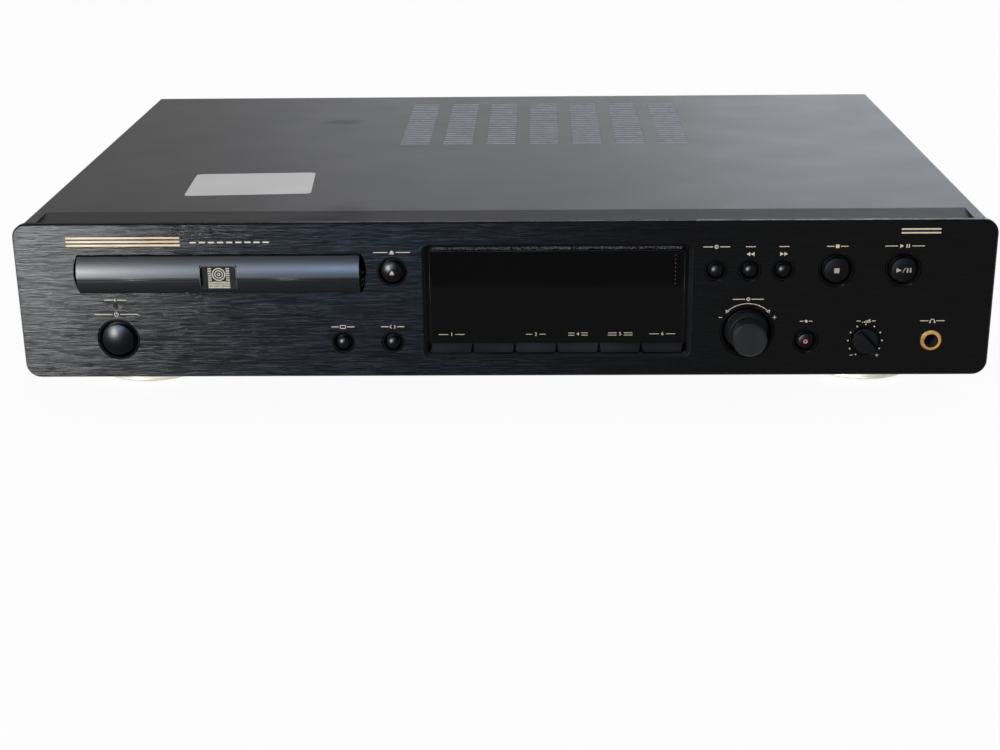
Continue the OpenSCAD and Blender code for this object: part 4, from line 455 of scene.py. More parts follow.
def paperFinish(name, look):
    tree, shader, place = startMaterial(name)
    fibres = noise(tree, place, look["fibre"], 4, (1, 0.4, 1), (0, 0, 0.4))
    stains = noise(tree, place, look["stain"], 4)
    setShader(tree, shader, {
        "Base Color": twoTone(tree, stains, look), "Roughness": spread(tree, stains, *look["rough"]),
        "IOR": look["ior"],
    })
    bumped(tree, shader, fibres, look["bump"], look["depth"])


paperFinish("paper", paperLook)

nodeFinishes = {
    "panel": ["front_panel"], "frame": ["front_frame"], "window": ["display_window"], "tube": ["display_tube"],
    "circuitBoard": ["front_board", "main_board"], "powerBoard": ["power_board"],
    "switch": ["control_switches"], "controlBody": ["rotary_controls"], "jack": ["headphone_jack"],
    "lamp": ["standby_lamp"],
    "cover": ["top_cover"], "zinc": ["chassis_base"], "rear": ["rear_panel"], "foot": ["feet"],
    "footRing": ["foot_rings"], "screw": ["cover_screws"], "loader": ["loader_frame"],
    "steel": ["clamp_bridge", "guide_rods"], "screwThread": ["lead_screw"],
    "motor": ["loading_motor", "deck_motors"], "whitePlastic": ["motor_pulley", "pulley_gear", "drive_gear"],
    "belt": ["drive_belt"], "tray": ["disc_tray"], "door": ["tray_door"], "badgePlate": ["tray_badge"],
    "deck": ["traverse_deck", "clamp_disc"], "platter": ["turntable"], "pickup": ["optical_pickup"],
    "objective": ["objective_lens"], "transformer": ["transformer"], "boardPart": ["board_parts"],
    "heatsink": ["heatsink"], "ribbon": ["ribbon_cables"], "socket": ["rca_sockets"],
    "optical": ["optical_sockets"], "inlet": ["mains_inlet"], "knob": ["jog_knob"], "darkKnob": ["level_knob"],
    "button": [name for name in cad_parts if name.endswith("_button")],
    "key": [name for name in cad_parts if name.endswith("_key")],
}
for finish, names in nodeFinishes.items():
    for name in names:
        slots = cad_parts[name].data.materials
        slots.clear()
        slots.append(finishes[finish])


# Shapes are outlines of (x, z) in millimetres, anticlockwise as seen from the front

def slab(x0, x1, z0, z1):
    return [(x0, z0), (x1, z0), (x1, z1), (x0, z1)]


def softSlab(x0, x1, z0, z1, r, steps=4):
    corners = ((x1 - r, z0 + r, -90), (x1 - r, z1 - r, 0), (x0 + r, z1 - r, 90), (x0 + r, z0 + r, 180))
    turns = [(cx, cz, math.radians(start + 90 * k / steps))
             for cx, cz, start in corners for k in range(steps + 1)]
    return [(cx + r * math.cos(turn), cz + r * math.sin(turn)) for cx, cz, turn in turns]


def dot(x, z, r, sides=20):
    turns = [math.tau * k / sides for k in range(sides)]
    return [(x + r * math.cos(turn), z + r * math.sin(turn)) for turn in turns]


def bow(x, z, inner, outer, start, end, steps=18):
    turns = [math.radians(start + (end - start) * k / steps) for k in range(steps + 1)]
    return ([(x + outer * math.cos(turn), z + outer * math.sin(turn)) for turn in turns]
            + [(x + inner * math.cos(turn), z + inner * math.sin(turn)) for turn in reversed(turns)])


def hoop(x, z, inner, outer):
    return [bow(x, z, inner, outer, 0, 180), bow(x, z, inner, outer, 180, 360)]


def line(x0, z0, x1, z1, width):
    long = math.hypot(x1 - x0, z1 - z0)
    dx, dz = (z0 - z1) / long * width / 2, (x1 - x0) / long * width / 2
    return [(x0 - dx, z0 - dz), (x1 - dx, z1 - dz), (x1 + dx, z1 + dz), (x0 + dx, z0 + dz)]


def moved(outlines, x, z):
    return [[(px + x, pz + z) for px, pz in outline] for outline in outlines]


# From meshes to pieces

def placed(name, data):
    piece = bpy.data.objects.new(name, data)
    bpy.context.scene.collection.objects.link(piece)
    return piece


def finishPiece(name, mesh, body, smooth):
    for face in mesh.polygons:
        face.use_smooth = smooth
    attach(placed(name, mesh), body)


def finishShell(name, shell, finish, body, smooth=False):
    bmesh.ops.recalc_face_normals(shell, faces=shell.faces)
    mesh = bpy.data.meshes.new(name)
    shell.to_mesh(mesh)
    shell.free()
    mesh.materials.append(finishes[finish])
    finishPiece(name, mesh, body, smooth)


def joinLoops(shell, first, second):
    for k in range(len(first)):
        shell.faces.new((first[k - 1], second[k - 1], second[k], first[k]))


def frozen(holder):
    view = bpy.context.evaluated_depsgraph_get()
    return bpy.data.meshes.new_from_object(holder.evaluated_get(view), depsgraph=view)


# Thin closed prints; surface gives the depth that each corner lies at
def printed(name, outlines, surface, finish, body, proud=0.04, sunk=0.03):
    sheet = bmesh.new()
    for outline in outlines:
        front = [sheet.verts.new(at(x, surface(x, z) - proud, z)) for x, z in outline]
        back = [sheet.verts.new(at(x, surface(x, z) + sunk, z)) for x, z in outline]
        sheet.faces.new(front)
        sheet.faces.new(back[::-1])
        joinLoops(sheet, front, back)
    finishShell(name, sheet, finish, body)


def flatAt(depth):
    return lambda x, z: depth


def domeAt(x0, z0, crown, proud):
    return lambda x, z: crown - proud - math.sqrt(crown ** 2 - (x - x0) ** 2 - (z - z0) ** 2)


# Geometry Nodes: a tree has named inputs, and each piece grown from it sets them by their identifiers
def newTree(name, inputs):
    tree = bpy.data.node_groups.new(name, "GeometryNodeTree")
    keys = {}
    for label, value in inputs.items():
        kind = {int: "Int", float: "Float"}.get(type(value), "Vector")
        socket = tree.interface.new_socket(label, in_out="INPUT", socket_type="NodeSocket" + kind)
        socket.default_value = value
        keys[label] = socket.identifier
    tree.interface.new_socket("Geometry", in_out="OUTPUT", socket_type="NodeSocketGeometry")
    return tree, put(tree, "NodeGroupInput").outputs, keys


def copied(tree, points, piece, scale=(1, 1, 1)):
    return put(tree, "GeometryNodeInstanceOnPoints", {
        "Points": points, "Instance": piece, "Scale": scale}).outputs[0]


def endTree(tree, keys, geometry, finish):
    real = put(tree, "GeometryNodeRealizeInstances", {"Geometry": geometry})
    coloured = put(tree, "GeometryNodeSetMaterial", {"Geometry": real.outputs[0], "Material": finishes[finish]})
    put(tree, "NodeGroupOutput", {"Geometry": coloured.outputs[0]})
    return tree, keys


def grown(name, grower, values, body, smooth=False):
    tree, keys = grower
    holder = placed(name + "_nodes", bpy.data.meshes.new(name + "_start"))
    modifier = holder.modifiers.new("nodes", "NODES")
    modifier.node_group = tree
    for label, value in values.items():
        modifier[keys[label]] = value
    mesh = frozen(holder)
    holder.modifiers.remove(modifier)
    bpy.data.objects.remove(holder)
    mesh.name = name
    finishPiece(name, mesh, body, smooth)


# Prints on the panel: short lines and common signs
print("panel prints")


def middleOf(node):
    low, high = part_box(node)
    return (low.x + high.x) * 500, (low.z + high.z - 2 * panelLow.z) * 500


spots = {name: middleOf(name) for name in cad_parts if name.endswith(("_button", "_key", "_knob"))}
spots["headphone_jack"] = (193.7, spots["level_knob"][1])
stroke = 0.34  # of the short lines that stand beside the signs
# Each row: what it belongs to, its height over that, its width, half the room for its sign, and the sign
signRows = [
    ("open_close_button", 9.0, 16.5, 1.9, [[(-1, -0.15), (1, -0.15), (0, 0.95)], slab(-1, 1, -0.8, -0.42)]),
    ("disc_type_button", 10.9, 12, 1.6, hoop(0, 0, 0.55, 0.9) + [dot(0, 0, 0.22)]),
    ("stop_button", 10.9, 9.5, 1.4, [slab(-0.8, 0.8, -0.8, 0.8)]),
    ("play_pause_button", 10.9, 17.5, 3.2, [
        [(-2.1, -0.85), (-0.5, 0), (-2.1, 0.85)], slab(0.6, 1.05, -0.85, 0.85), slab(1.6, 2.05, -0.85, 0.85)]),
    ("record_button", 9.3, 5.6, 1.2, [dot(0, 0, 0.62)]),
    ("level_knob", 9.3, 8.6, 2.5, [
        slab(-1.8 + k * 0.8, -1.35 + k * 0.8, -0.8, -0.45 + k * 0.32) for k in range(5)]),
    ("headphone_jack", 9.3, 11, 1.8, [
        bow(0, -0.3, 0.85, 1.15, 0, 180), slab(-1.35, -0.7, -1.05, -0.25), slab(0.7, 1.35, -1.05, -0.25)]),
    ("display_button", 7.4, 10.5, 1.9, [
        line(-1.2, -0.7, 1.2, -0.7, 0.28), line(-1.2, 0.7, 1.2, 0.7, 0.28),
        line(-1.2, -0.7, -1.2, 0.7, 0.28), line(1.2, 0.7, 1.2, -0.7, 0.28)]),
    ("scroll_button", 7.4, 10.5, 2.0, [
        line(way * 1.3, 0, way * 0.6, tip, 0.3) for way in (-1, 1) for tip in (-0.8, 0.8)]),
    ("power_button", 12.0, 20, 1.8, [bow(0, 0, 0.75, 1.05, -235, 55), slab(-0.15, 0.15, 0.1, 1.25)]),
    ("power_button", 18.8, 10, 0.9, [bow(0, 0, 0.25, 0.6, 60, 300)]),
    ("jog_knob", 15.4, 14, 1.5, hoop(0, 0, 0.5, 0.85)),
]
panelSigns = []
for node, rise, width, room, shapes in signRows:
    sides = [slab(x0, x1, -stroke / 2, stroke / 2) for x0, x1 in ((-width / 2, -room), (room, width / 2))]
    panelSigns += moved(sides + shapes, spots[node][0], spots[node][1] + rise)
# the arrows of both search buttons, under one line each
arrowLook = {"line": 10.9, "row": 7.5, "left": (-1.75, 0.1), "long": 1.65, "half": 0.9}
for node, way in (("rewind_button", -1), ("fast_forward_button", 1)):
    arrows = [slab(-2.2, 2.2, arrowLook["line"] - stroke / 2, arrowLook["line"] + stroke / 2)]
    for left in arrowLook["left"]:
        tip, root = (left, left + arrowLook["long"])[::-way]
        half = arrowLook["half"] * way
        row = arrowLook["row"]
        arrows.append([(tip, row), (root, row + half), (root, row - half)])
    panelSigns += moved(arrows, *spots[node])
# the jog's arc with its arrow heads, and the turning signs beside both knobs
jogSign = {"radius": 13.35, "half": 0.15, "start": 42}
jogShapes = [bow(0, 0, jogSign["radius"] - jogSign["half"], jogSign["radius"] + jogSign["half"],
                 jogSign["start"], 180 - jogSign["start"], 30), slab(12.05, 12.35, 6.05, 7.55)]
levelShapes = [slab(5.65, 5.95, -7.7, -6.3)]
for way in (-1, 1):
    tipX = way * jogSign["radius"] * math.cos(math.radians(jogSign["start"]))
    tipZ = jogSign["radius"] * math.sin(math.radians(jogSign["start"]))
    head = [(tipX, tipZ - 0.25), (tipX - way * 0.05, tipZ + 1.6), (tipX - way * 1.6, tipZ + 0.7)]
    jogShapes += [head[::way], slab(way * 12.2 - 0.75, way * 12.2 + 0.75, 6.65, 6.95)]
    levelShapes.append(slab(way * 5.8 - 0.7, way * 5.8 + 0.7, -7.15, -6.85))
panelSigns += moved(jogShapes, *spots["jog_knob"]) + moved(levelShapes, *spots["level_knob"])
printed("panel_signs", panelSigns, flatAt(0), "print", "casing")

# Plain bars and dashes at both upper corners of the panel
barLook = {"bars": (-196, -144.5), "barRows": (62.4, 64.1, 65.8), "bar": 0.85,
           "dash": (-140, -137.2), "dashes": 9, "pitch": 4.1, "dashRow": (63.7, 64.35),
           "right": (177, 194.5), "rightRows": (66.6, 68.3), "rightBar": 0.7}
bars = [softSlab(*barLook["bars"], low, low + barLook["bar"], 0.4) for low in barLook["barRows"]]
printed("name_bars", bars, flatAt(0), "goldPrint", "casing", proud=0.12)
dash = slab(*barLook["dash"], *barLook["dashRow"])
dashes = [outline for k in range(barLook["dashes"]) for outline in moved([dash], k * barLook["pitch"], 0)]
dashes += [softSlab(*barLook["right"], low, low + barLook["rightBar"], 0.3) for low in barLook["rightRows"]]
printed("name_dashes", dashes, flatAt(0), "print", "casing")

# Dial dots: points on a circle, one small disc at each
dialLooks = {
    "level_dots": {"Count": 11, "Radius": 0.0077, "Dot radius": 0.00036, "Start": -math.pi / 3,
                   "Step": math.pi / 6},
    "jog_dot": {"Count": 1, "Radius": 0.0149, "Dot radius": 0.0004, "Start": math.pi / 2, "Step": 0.0},
}


def dialTree():
    tree, given, keys = newTree("dialDots", {**dialLooks["level_dots"], "Centre": (0, 0, 0)})
    points = put(tree, "GeometryNodePoints", {"Count": given["Count"]})
    turn = put(tree, "ShaderNodeMath", {
        0: put(tree, "GeometryNodeInputIndex").outputs[0], 1: given["Step"], 2: given["Start"],
    }, operation="MULTIPLY_ADD").outputs[0]
    circle = put(tree, "ShaderNodeCombineXYZ", {
        "X": maths(tree, "MULTIPLY", maths(tree, "COSINE", turn), given["Radius"]),
        "Z": maths(tree, "MULTIPLY", maths(tree, "SINE", turn), given["Radius"])})
    place = put(tree, "ShaderNodeVectorMath", {0: circle.outputs[0], 1: given["Centre"]}, operation="ADD")
    laid = put(tree, "GeometryNodeSetPosition", {"Geometry": points.outputs[0], "Position": place.outputs[0]})
    disc = put(tree, "GeometryNodeMeshCylinder", {
        "Vertices": 14, "Radius": given["Dot radius"], "Depth": 0.00007})
    turned = put(tree, "GeometryNodeTransform", {
        "Geometry": disc.outputs["Mesh"], "Rotation": (math.pi / 2, 0, 0)})
    return endTree(tree, keys, copied(tree, laid.outputs[0], turned.outputs[0]), "print")


dialDots = dialTree()
for name, node in (("level_dots", "level_knob"), ("jog_dot", "jog_knob")):
    x, z = spots[node]
    grown(name, dialDots, {**dialLooks[name], "Centre": at(x, -0.005, z)}, "casing")

# Signs on the caps follow their domes: outlines, the dome's radius and how proud its crown is, and the finish
print("button signs")
capSigns = {
    "stop_sign": ("stop_button", [softSlab(-1.15, 1.15, -1.15, 1.15, 0.3)], (24, 1.4), "capPrint"),
    "play_sign": ("play_pause_button", [
        [(-3.3, -1.05), (-1.0, 0), (-3.3, 1.05)], line(-0.5, -1.05, 0.5, 1.05, 0.28),
        slab(1.2, 1.9, -1.05, 1.05), slab(2.6, 3.3, -1.05, 1.05)], (24, 1.4), "capPrint"),
    "open_sign": ("open_close_button", [
        [(-0.95, -0.35), (0.95, -0.35), (0, 0.85)], slab(-0.95, 0.95, -1, -0.65)], (9, 1.8), "print"),
    "record_dot": ("record_button", [dot(0, 0, 1.05, 28)], (9, 1.2), "redDot"),
}
for name, (node, shapes, dome, finish) in capSigns.items():
    printed(name, moved(shapes, *spots[node]), domeAt(*spots[node], *dome), finish, node + "_body", proud=0.05)

# Badge on the tray's plate: a plain ring in a square
badgeLow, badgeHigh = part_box("tray_badge")
badgeX, badgeZ = middleOf("tray_badge")
side = 4.9  # half the plate's printed square
badgeSigns = hoop(0, 1.5, 2.5, 3.0) + hoop(0, 1.5, 1.5, 1.9) + hoop(0, 1.5, 0.4, 0.8)
badgeSigns += [slab(way * 4.05 - 0.8, way * 4.05 + 0.8, k * 1.05 - 1.4, k * 1.05 - 0.8)
               for way in (-1, 1) for k in range(6)]
badgeSigns += [slab(-side, side, k * 0.82 - side, k * 0.82 - side + 0.55) for k in range(4)]
printed("badge_sign", moved(badgeSigns, badgeX, badgeZ), flatAt((badgeLow.y - panelLow.y) * 1000), "dullGold",
        "tray", proud=0.03)


# Beads: round bars along a line of places, their ends closed
def beaded(name, lines, radius, finish, body, sides=10):
    bars = bmesh.new()
    for places in lines:
        rings = []
        for k, place in enumerate(places):
            ahead = (places[min(k + 1, len(places) - 1)] - places[max(k - 1, 0)]).normalized()
            across = ahead.cross(Vector((0, 0.31, 0.95))).normalized()
            over = ahead.cross(across)
            spokes = [across * x + over * y for x, y in dot(0, 0, radius / 1000, sides)]
            rings.append([bars.verts.new(place + spoke) for spoke in spokes])
        for ring, after in zip(rings, rings[1:]):
            joinLoops(bars, ring, after)
        bars.faces.new(rings[0][::-1])
        bars.faces.new(rings[-1])
    finishShell(name, bars, finish, body, smooth=True)


# Painted highlights on the lit edges of the tray door: lighter beads round the plate's recess, and along both
# grooves
doorEdges = {"bulge": 4.2, "rimLow": 0.3, "rimHigh": 0.1, "corner": 1.6, "rim": 0.22,
             "grooves": (-0.44, -1.3), "groove": 0.1, "end": 0.6, "gap": 0.5}
doorLow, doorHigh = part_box("tray_door")
doorFront, doorMiddle = (doorLow.y - panelLow.y) * 1000, middleOf("tray_door")[1]
doorRound = (((doorHigh.z - doorLow.z) * 500) ** 2 + doorEdges["bulge"] ** 2) / (2 * doorEdges["bulge"])


def onDoor(x, z):
    return at(x, doorFront + doorRound - math.sqrt(doorRound ** 2 - (z - doorMiddle) ** 2), z)


plateLeft, plateRight = badgeLow.x * 1000, badgeHigh.x * 1000
plateLow = (badgeLow.z - panelLow.z) * 1000 + doorEdges["rimLow"]
plateHigh = (badgeHigh.z - panelLow.z) * 1000 + doorEdges["rimHigh"]
upperCorners = softSlab(plateLeft, plateRight, plateLow, plateHigh, doorEdges["corner"], 5)[6:18]
rimPath = [(plateRight, plateLow)] + upperCorners + [(plateLeft, plateLow)]
rimPath = [(x0 + (x1 - x0) * n / 4, z0 + (z1 - z0) * n / 4)
           for (x0, z0), (x1, z1) in zip(rimPath, rimPath[1:]) for n in range(4)] + [rimPath[-1]]
beaded("badge_rim", [[onDoor(x, z) for x, z in rimPath]], doorEdges["rim"], "rim", "tray")
beaded("door_lines", [
    [onDoor(start, doorMiddle + drop), onDoor(end, doorMiddle + drop)]
    for drop in doorEdges["grooves"]
    for start, end in ((doorLow.x * 1000 + doorEdges["end"], plateLeft - doorEdges["gap"]),
                       (plateRight + doorEdges["gap"], doorHigh.x * 1000 - doorEdges["end"]))],
    doorEdges["groove"], "edge", "tray")

# Numbers over the keys, each between short lines. A row is (number, width in the photograph's pixels,
# lines on each side), with 1.7 pixels to a millimetre
print("window prints")
lensFace = (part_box("display_window")[0].y - panelLow.y) * 1000
keyLook = {"size": 2.3, "rise": 6.3, "room": 1.6, "half": 0.12, "apart": 0.55, "pixels": 1.7}
keyRows = {"source_key": (1, 20, 1), "erase_key": (3, 15, 1), "store_key": (4, 15, 2), "cancel_key": (5, 19, 2),
           "finalize_key": (6, 20, 1)}


def plainNumber(number, size, x, depth, z):
    text = bpy.data.curves.new("number" + number, "FONT")
    text.body, text.size, text.extrude = number, size / 1000, 0.00003
    text.align_x, text.align_y = "CENTER", "CENTER"
    holder = placed("numberHolder", text)
    mesh = frozen(holder)
    bpy.data.objects.remove(holder)
    mesh.transform(Matrix.Translation(at(x, depth, z)) @ Matrix.Rotation(math.pi / 2, 4, "X"))
    return mesh


numbers, keyLines = bmesh.new(), []
for node, (number, width, rows) in keyRows.items():
    x, z = spots[node]
    z += keyLook["rise"]
    numbers.from_mesh(plainNumber(str(number), keyLook["size"], x, lensFace, z))
    half = width / 2 / keyLook["pixels"]
    for row in ((0,), (-keyLook["apart"], keyLook["apart"]))[rows - 1]:
        keyLines += [slab(x + x0, x + x1, z + row - keyLook["half"], z + row + keyLook["half"])
                     for x0, x1 in ((-half, -keyLook["room"]), (keyLook["room"], half))]
bmesh.ops.remove_doubles(numbers, verts=numbers.verts, dist=1e-7)
finishShell("key_numbers", numbers, "print", "casing")
printed("key_lines", keyLines, flatAt(lensFace), "print", "casing")

# Dust along the top of the window: points strewn over a strip, a flake at each
dustLook = {"Width": 0.112, "Height": 0.0026, "Density": 1300 / (0.112 * 0.0026), "Flake": 0.00013, "Seed": 7,
            "Lean": math.radians(135)}


def dustTree():
    tree, given, keys = newTree("windowDust", {**dustLook, "Centre": (0, 0, 0)})
    strip = put(tree, "GeometryNodeMeshGrid", {
        "Size X": given["Width"], "Size Y": given["Height"], "Vertices X": 2, "Vertices Y": 2})
    lean = put(tree, "ShaderNodeCombineXYZ", {"X": given["Lean"]})
    stood = put(tree, "GeometryNodeTransform", {
        "Geometry": strip.outputs["Mesh"], "Translation": given["Centre"], "Rotation": lean.outputs[0]})
    strewn = put(tree, "GeometryNodeDistributePointsOnFaces", {
        "Mesh": stood.outputs[0], "Density": given["Density"], "Seed": given["Seed"]})
    size = put(tree, "FunctionNodeRandomValue", {2: 0.35, 3: 1.0, "Seed": given["Seed"]}, data_type="FLOAT")
    flake = put(tree, "GeometryNodeMeshIcoSphere", {"Radius": given["Flake"], "Subdivisions": 1})
    flakes = copied(tree, strewn.outputs["Points"], flake.outputs["Mesh"], size.outputs[1])
    return endTree(tree, keys, flakes, "dust")


openLook = {"x0": -36.3, "x1": 85.2, "z0": 9.0, "z1": 62.5, "corner": 3.0, "bevel": (0.1, 1.75), "half": 0.04}
dustAt = at((openLook["x0"] + openLook["x1"]) / 2, 1.45, 60.3)
grown("window_dust", dustTree(), {**dustLook, "Centre": dustAt}, "casing")


def openOutline(inset, corner, steps):
    return softSlab(openLook["x0"] + inset, openLook["x1"] - inset,
                    openLook["z0"] + inset, openLook["z1"] - inset, corner, steps)


# Bright bevel round the window: a thin closed band on the panel's slope
def windowBevel():
    band = bmesh.new()
    outer, inner = openLook["bevel"]
    half = openLook["half"]
    loops = []
    for depth, lift in ((outer, half), (inner, half), (inner, -half), (outer, -half)):
        outline = openOutline(depth + lift, max(openLook["corner"] - depth, 0.9), 6)
        loops.append([band.verts.new(at(x, depth - lift, z)) for x, z in outline])
    for first, second in zip(loops, loops[1:] + loops[:1]):
        joinLoops(band, first, second)
    finishShell("window_bevel", band, "bevel", "casing")


windowBevel()
# the upper and the lower slope take light from the sky and the floor, shown as a painted reflection on thin
# bluish sheets
slopeEnd = 2.4


def slopeAt(x, z):
    return min(abs(z - openLook["z1"]), abs(z - openLook["z0"]))


for name, rows in (("upper_slope", (61.2, 62.36)), ("lower_slope", (9.14, 10.3))):
    outline = slab(openLook["x0"] + slopeEnd, openLook["x1"] - slopeEnd, *rows)
    printed(name, [outline], slopeAt, "skyReflection", "casing", proud=0.06)
# painted highlights: a lighter bead along the window opening's top edge, and along the lens's edges
rim = openOutline(0, openLook["corner"], 8)[:18]
beaded("window_rim", [[at(x, 0.04, z) for x, z in rim]], 0.1, "faintHighlight", "casing")
lensEdges = ((-32.8, 59.0, 81.7, 59.0), (-32.9, 16.2, -32.9, 58.7), (81.8, 16.2, 81.8, 58.7))
lensBars = [[at(x0, lensFace, z0), at(x1, lensFace, z1)] for x0, z0, x1, z1 in lensEdges]
beaded("lens_edge", lensBars, 0.14, "faintHighlight", "casing")
pointLook = {"x": 77.6, "low": 43.5, "pitch": 1.9, "radius": 0.2, "count": 8}
points = [dot(pointLook["x"], pointLook["low"] + pointLook["pitch"] * k, pointLook["radius"], 8)
          for k in range(pointLook["count"])]
printed("display_points", points, flatAt(lensFace), "segment", "casing")

# Vents: a rolled lip along each slot, on a grid of points; the lips' pale blue-grey colour is a painted
# highlight
print("vents")
ventLook = {"Columns": 7, "Rows": 22, "Column pitch": 0.0231, "Row pitch": 0.0052, "Length": 0.0157,
            "Lip": 0.00026}


def ventTree():
    tree, given, keys = newTree("ventLips", {**ventLook, "Centre": (0, 0, 0)})
    across = maths(tree, "MULTIPLY", maths(tree, "SUBTRACT", given["Columns"], 1), given["Column pitch"])
    along = maths(tree, "MULTIPLY", maths(tree, "SUBTRACT", given["Rows"], 1), given["Row pitch"])
    grid = put(tree, "GeometryNodeMeshGrid", {
        "Size X": across, "Size Y": along, "Vertices X": given["Columns"], "Vertices Y": given["Rows"]})
    laid = put(tree, "GeometryNodeTransform", {
        "Geometry": grid.outputs["Mesh"], "Translation": given["Centre"]})
    half = maths(tree, "MULTIPLY", given["Length"], 0.5)
    start = put(tree, "ShaderNodeCombineXYZ", {"X": maths(tree, "MULTIPLY", half, -1)})
    end = put(tree, "ShaderNodeCombineXYZ", {"X": half})
    edge = put(tree, "GeometryNodeCurvePrimitiveLine", {"Start": start.outputs[0], "End": end.outputs[0]})
    profile = put(tree, "GeometryNodeCurvePrimitiveCircle", {"Resolution": 10, "Radius": given["Lip"]})
    rolled = put(tree, "GeometryNodeCurveToMesh", {
        "Curve": edge.outputs[0], "Profile Curve": profile.outputs["Curve"], "Fill Caps": True})
    return endTree(tree, keys, copied(tree, laid.outputs[0], rolled.outputs[0]), "lip")


coverTop = (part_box("top_cover")[1].z - panelLow.z) * 1000
ventsAt = at(19.4, 218.78, coverTop - ventLook["Lip"] * 1000 - 0.02)
grown("vent_lips", ventTree(), {**ventLook, "Centre": ventsAt}, "casing", smooth=True)

# Paper label on the cover
print("paper label")
labelLook = {"corners": ((-152, 51), (-92, 54.5), (-95, 98), (-154, 95.5)), "width": 60, "height": 43,
             "radius": 2.2, "lift": 0.02, "thick": 0.1, "steps": 24}


def labelPlace(u, v):
    # u and v run from 0 to 1; a place in a corner is pulled in to round it
    width, height, r = labelLook["width"], labelLook["height"], labelLook["radius"]
    du, dv = min(u, 1 - u) * width, min(v, 1 - v) * height
    far = math.hypot(r - du, r - dv)
    if du < r and dv < r < far:
        du, dv = r - (r - du) * r / far, r - (r - dv) * r / far
        u = du / width if u < 0.5 else 1 - du / width
        v = dv / height if v < 0.5 else 1 - dv / height
    a, b, c, d = (Vector(corner) for corner in labelLook["corners"])
    return a.lerp(b, u).lerp(d.lerp(c, u), v)


def paperLabel():
    steps, sheet, grid = labelLook["steps"], bmesh.new(), {}
    for i in range(steps + 1):
        for j in range(steps + 1):
            x, y = labelPlace(i / steps, j / steps)
            for layer in (0, 1):
                height = coverTop + labelLook["lift"] - layer * labelLook["thick"]
                grid[layer, i, j] = sheet.verts.new(at(x, y, height))
    for i in range(steps):
        for j in range(steps):
            quad = [(i, j), (i + 1, j), (i + 1, j + 1), (i, j + 1)]
            sheet.faces.new([grid[0, a, b] for a, b in quad])
            sheet.faces.new([grid[1, a, b] for a, b in reversed(quad)])
    edge = ([(i, 0) for i in range(steps)] + [(steps, j) for j in range(steps)]
            + [(i, steps) for i in range(steps, 0, -1)] + [(0, j) for j in range(steps, 0, -1)])
    joinLoops(sheet, [grid[0, a, b] for a, b in edge], [grid[1, a, b] for a, b in edge])
    finishShell("paper_label", sheet, "paper", "casing")


paperLabel()

# Turned rings: grips on the jog knob, and rings round the phono sockets, red below and white above
print("rings")
jogRings = {"wire": 0.11, "rings": ((8.05, -2.2), (8.02, -2.75), (7.6, -12.2))}  # radius and depth of each
phonoLook = {"radius": 5.6, "wire": 0.45, "fromEnd": 9.0, "fromTop": 8.0, "fromSide": 7.0, "rowPitch": 18.0,
             "columnPitch": 30.0}


def ringTree(finish):
    tree, given, keys = newTree(finish + "Rings", {"Radius": 0.004, "Wire": 0.0002, "Centre": (0, 0, 0)})
    loop = put(tree, "GeometryNodeCurvePrimitiveCircle", {"Resolution": 48, "Radius": given["Radius"]})
    profile = put(tree, "GeometryNodeCurvePrimitiveCircle", {"Resolution": 8, "Radius": given["Wire"]})
    ring = put(tree, "GeometryNodeCurveToMesh", {
        "Curve": loop.outputs["Curve"], "Profile Curve": profile.outputs["Curve"]})
    stood = put(tree, "GeometryNodeTransform", {
        "Geometry": ring.outputs[0], "Rotation": (math.pi / 2, 0, 0), "Translation": given["Centre"]})
    return endTree(tree, keys, stood.outputs[0], finish)


jogX, jogZ = spots["jog_knob"]
gripRings = ringTree("knob")
for k, (radius, depth) in enumerate(jogRings["rings"]):
    grown(f"jog_ring_{k + 1}", gripRings, {
        "Radius": radius / 1000, "Wire": jogRings["wire"] / 1000, "Centre": at(jogX, depth, jogZ),
    }, "jog_knob_body", smooth=True)
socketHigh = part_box("rca_sockets")[1]
ringY = (socketHigh.y - panelLow.y) * 1000 - phonoLook["fromEnd"]
for finish, drop in (("redInsert", phonoLook["rowPitch"]), ("whiteInsert", 0)):
    phonoRings = ringTree(finish)
    ringZ = (socketHigh.z - panelLow.z) * 1000 - phonoLook["fromTop"] - drop
    for column in (0, 1):
        ringX = socketHigh.x * 1000 - phonoLook["fromSide"] - column * phonoLook["columnPitch"]
        grown(f"{finish}_ring_{column + 1}", phonoRings, {
            "Radius": phonoLook["radius"] / 1000, "Wire": phonoLook["wire"] / 1000,
            "Centre": at(ringX, ringY, ringZ)}, "casing", smooth=True)

# Front edge of the cover: a bright line, a painted highlight on its bend, with chips strewn on it;
# chips is (middle, width, how many)
print("cover edge")
edgeLook = {"y": 3.5, "drop": 2.62, "half": 209.0, "radius": 0.09, "chipRise": 0.12, "chip": 0.16,
            "chips": ((-105, 40, 14), (-48, 26, 9), (40, 60, 4))}


def onEdge(x, rise=0.0):
    return at(x, edgeLook["y"], coverTop - edgeLook["drop"] + rise)


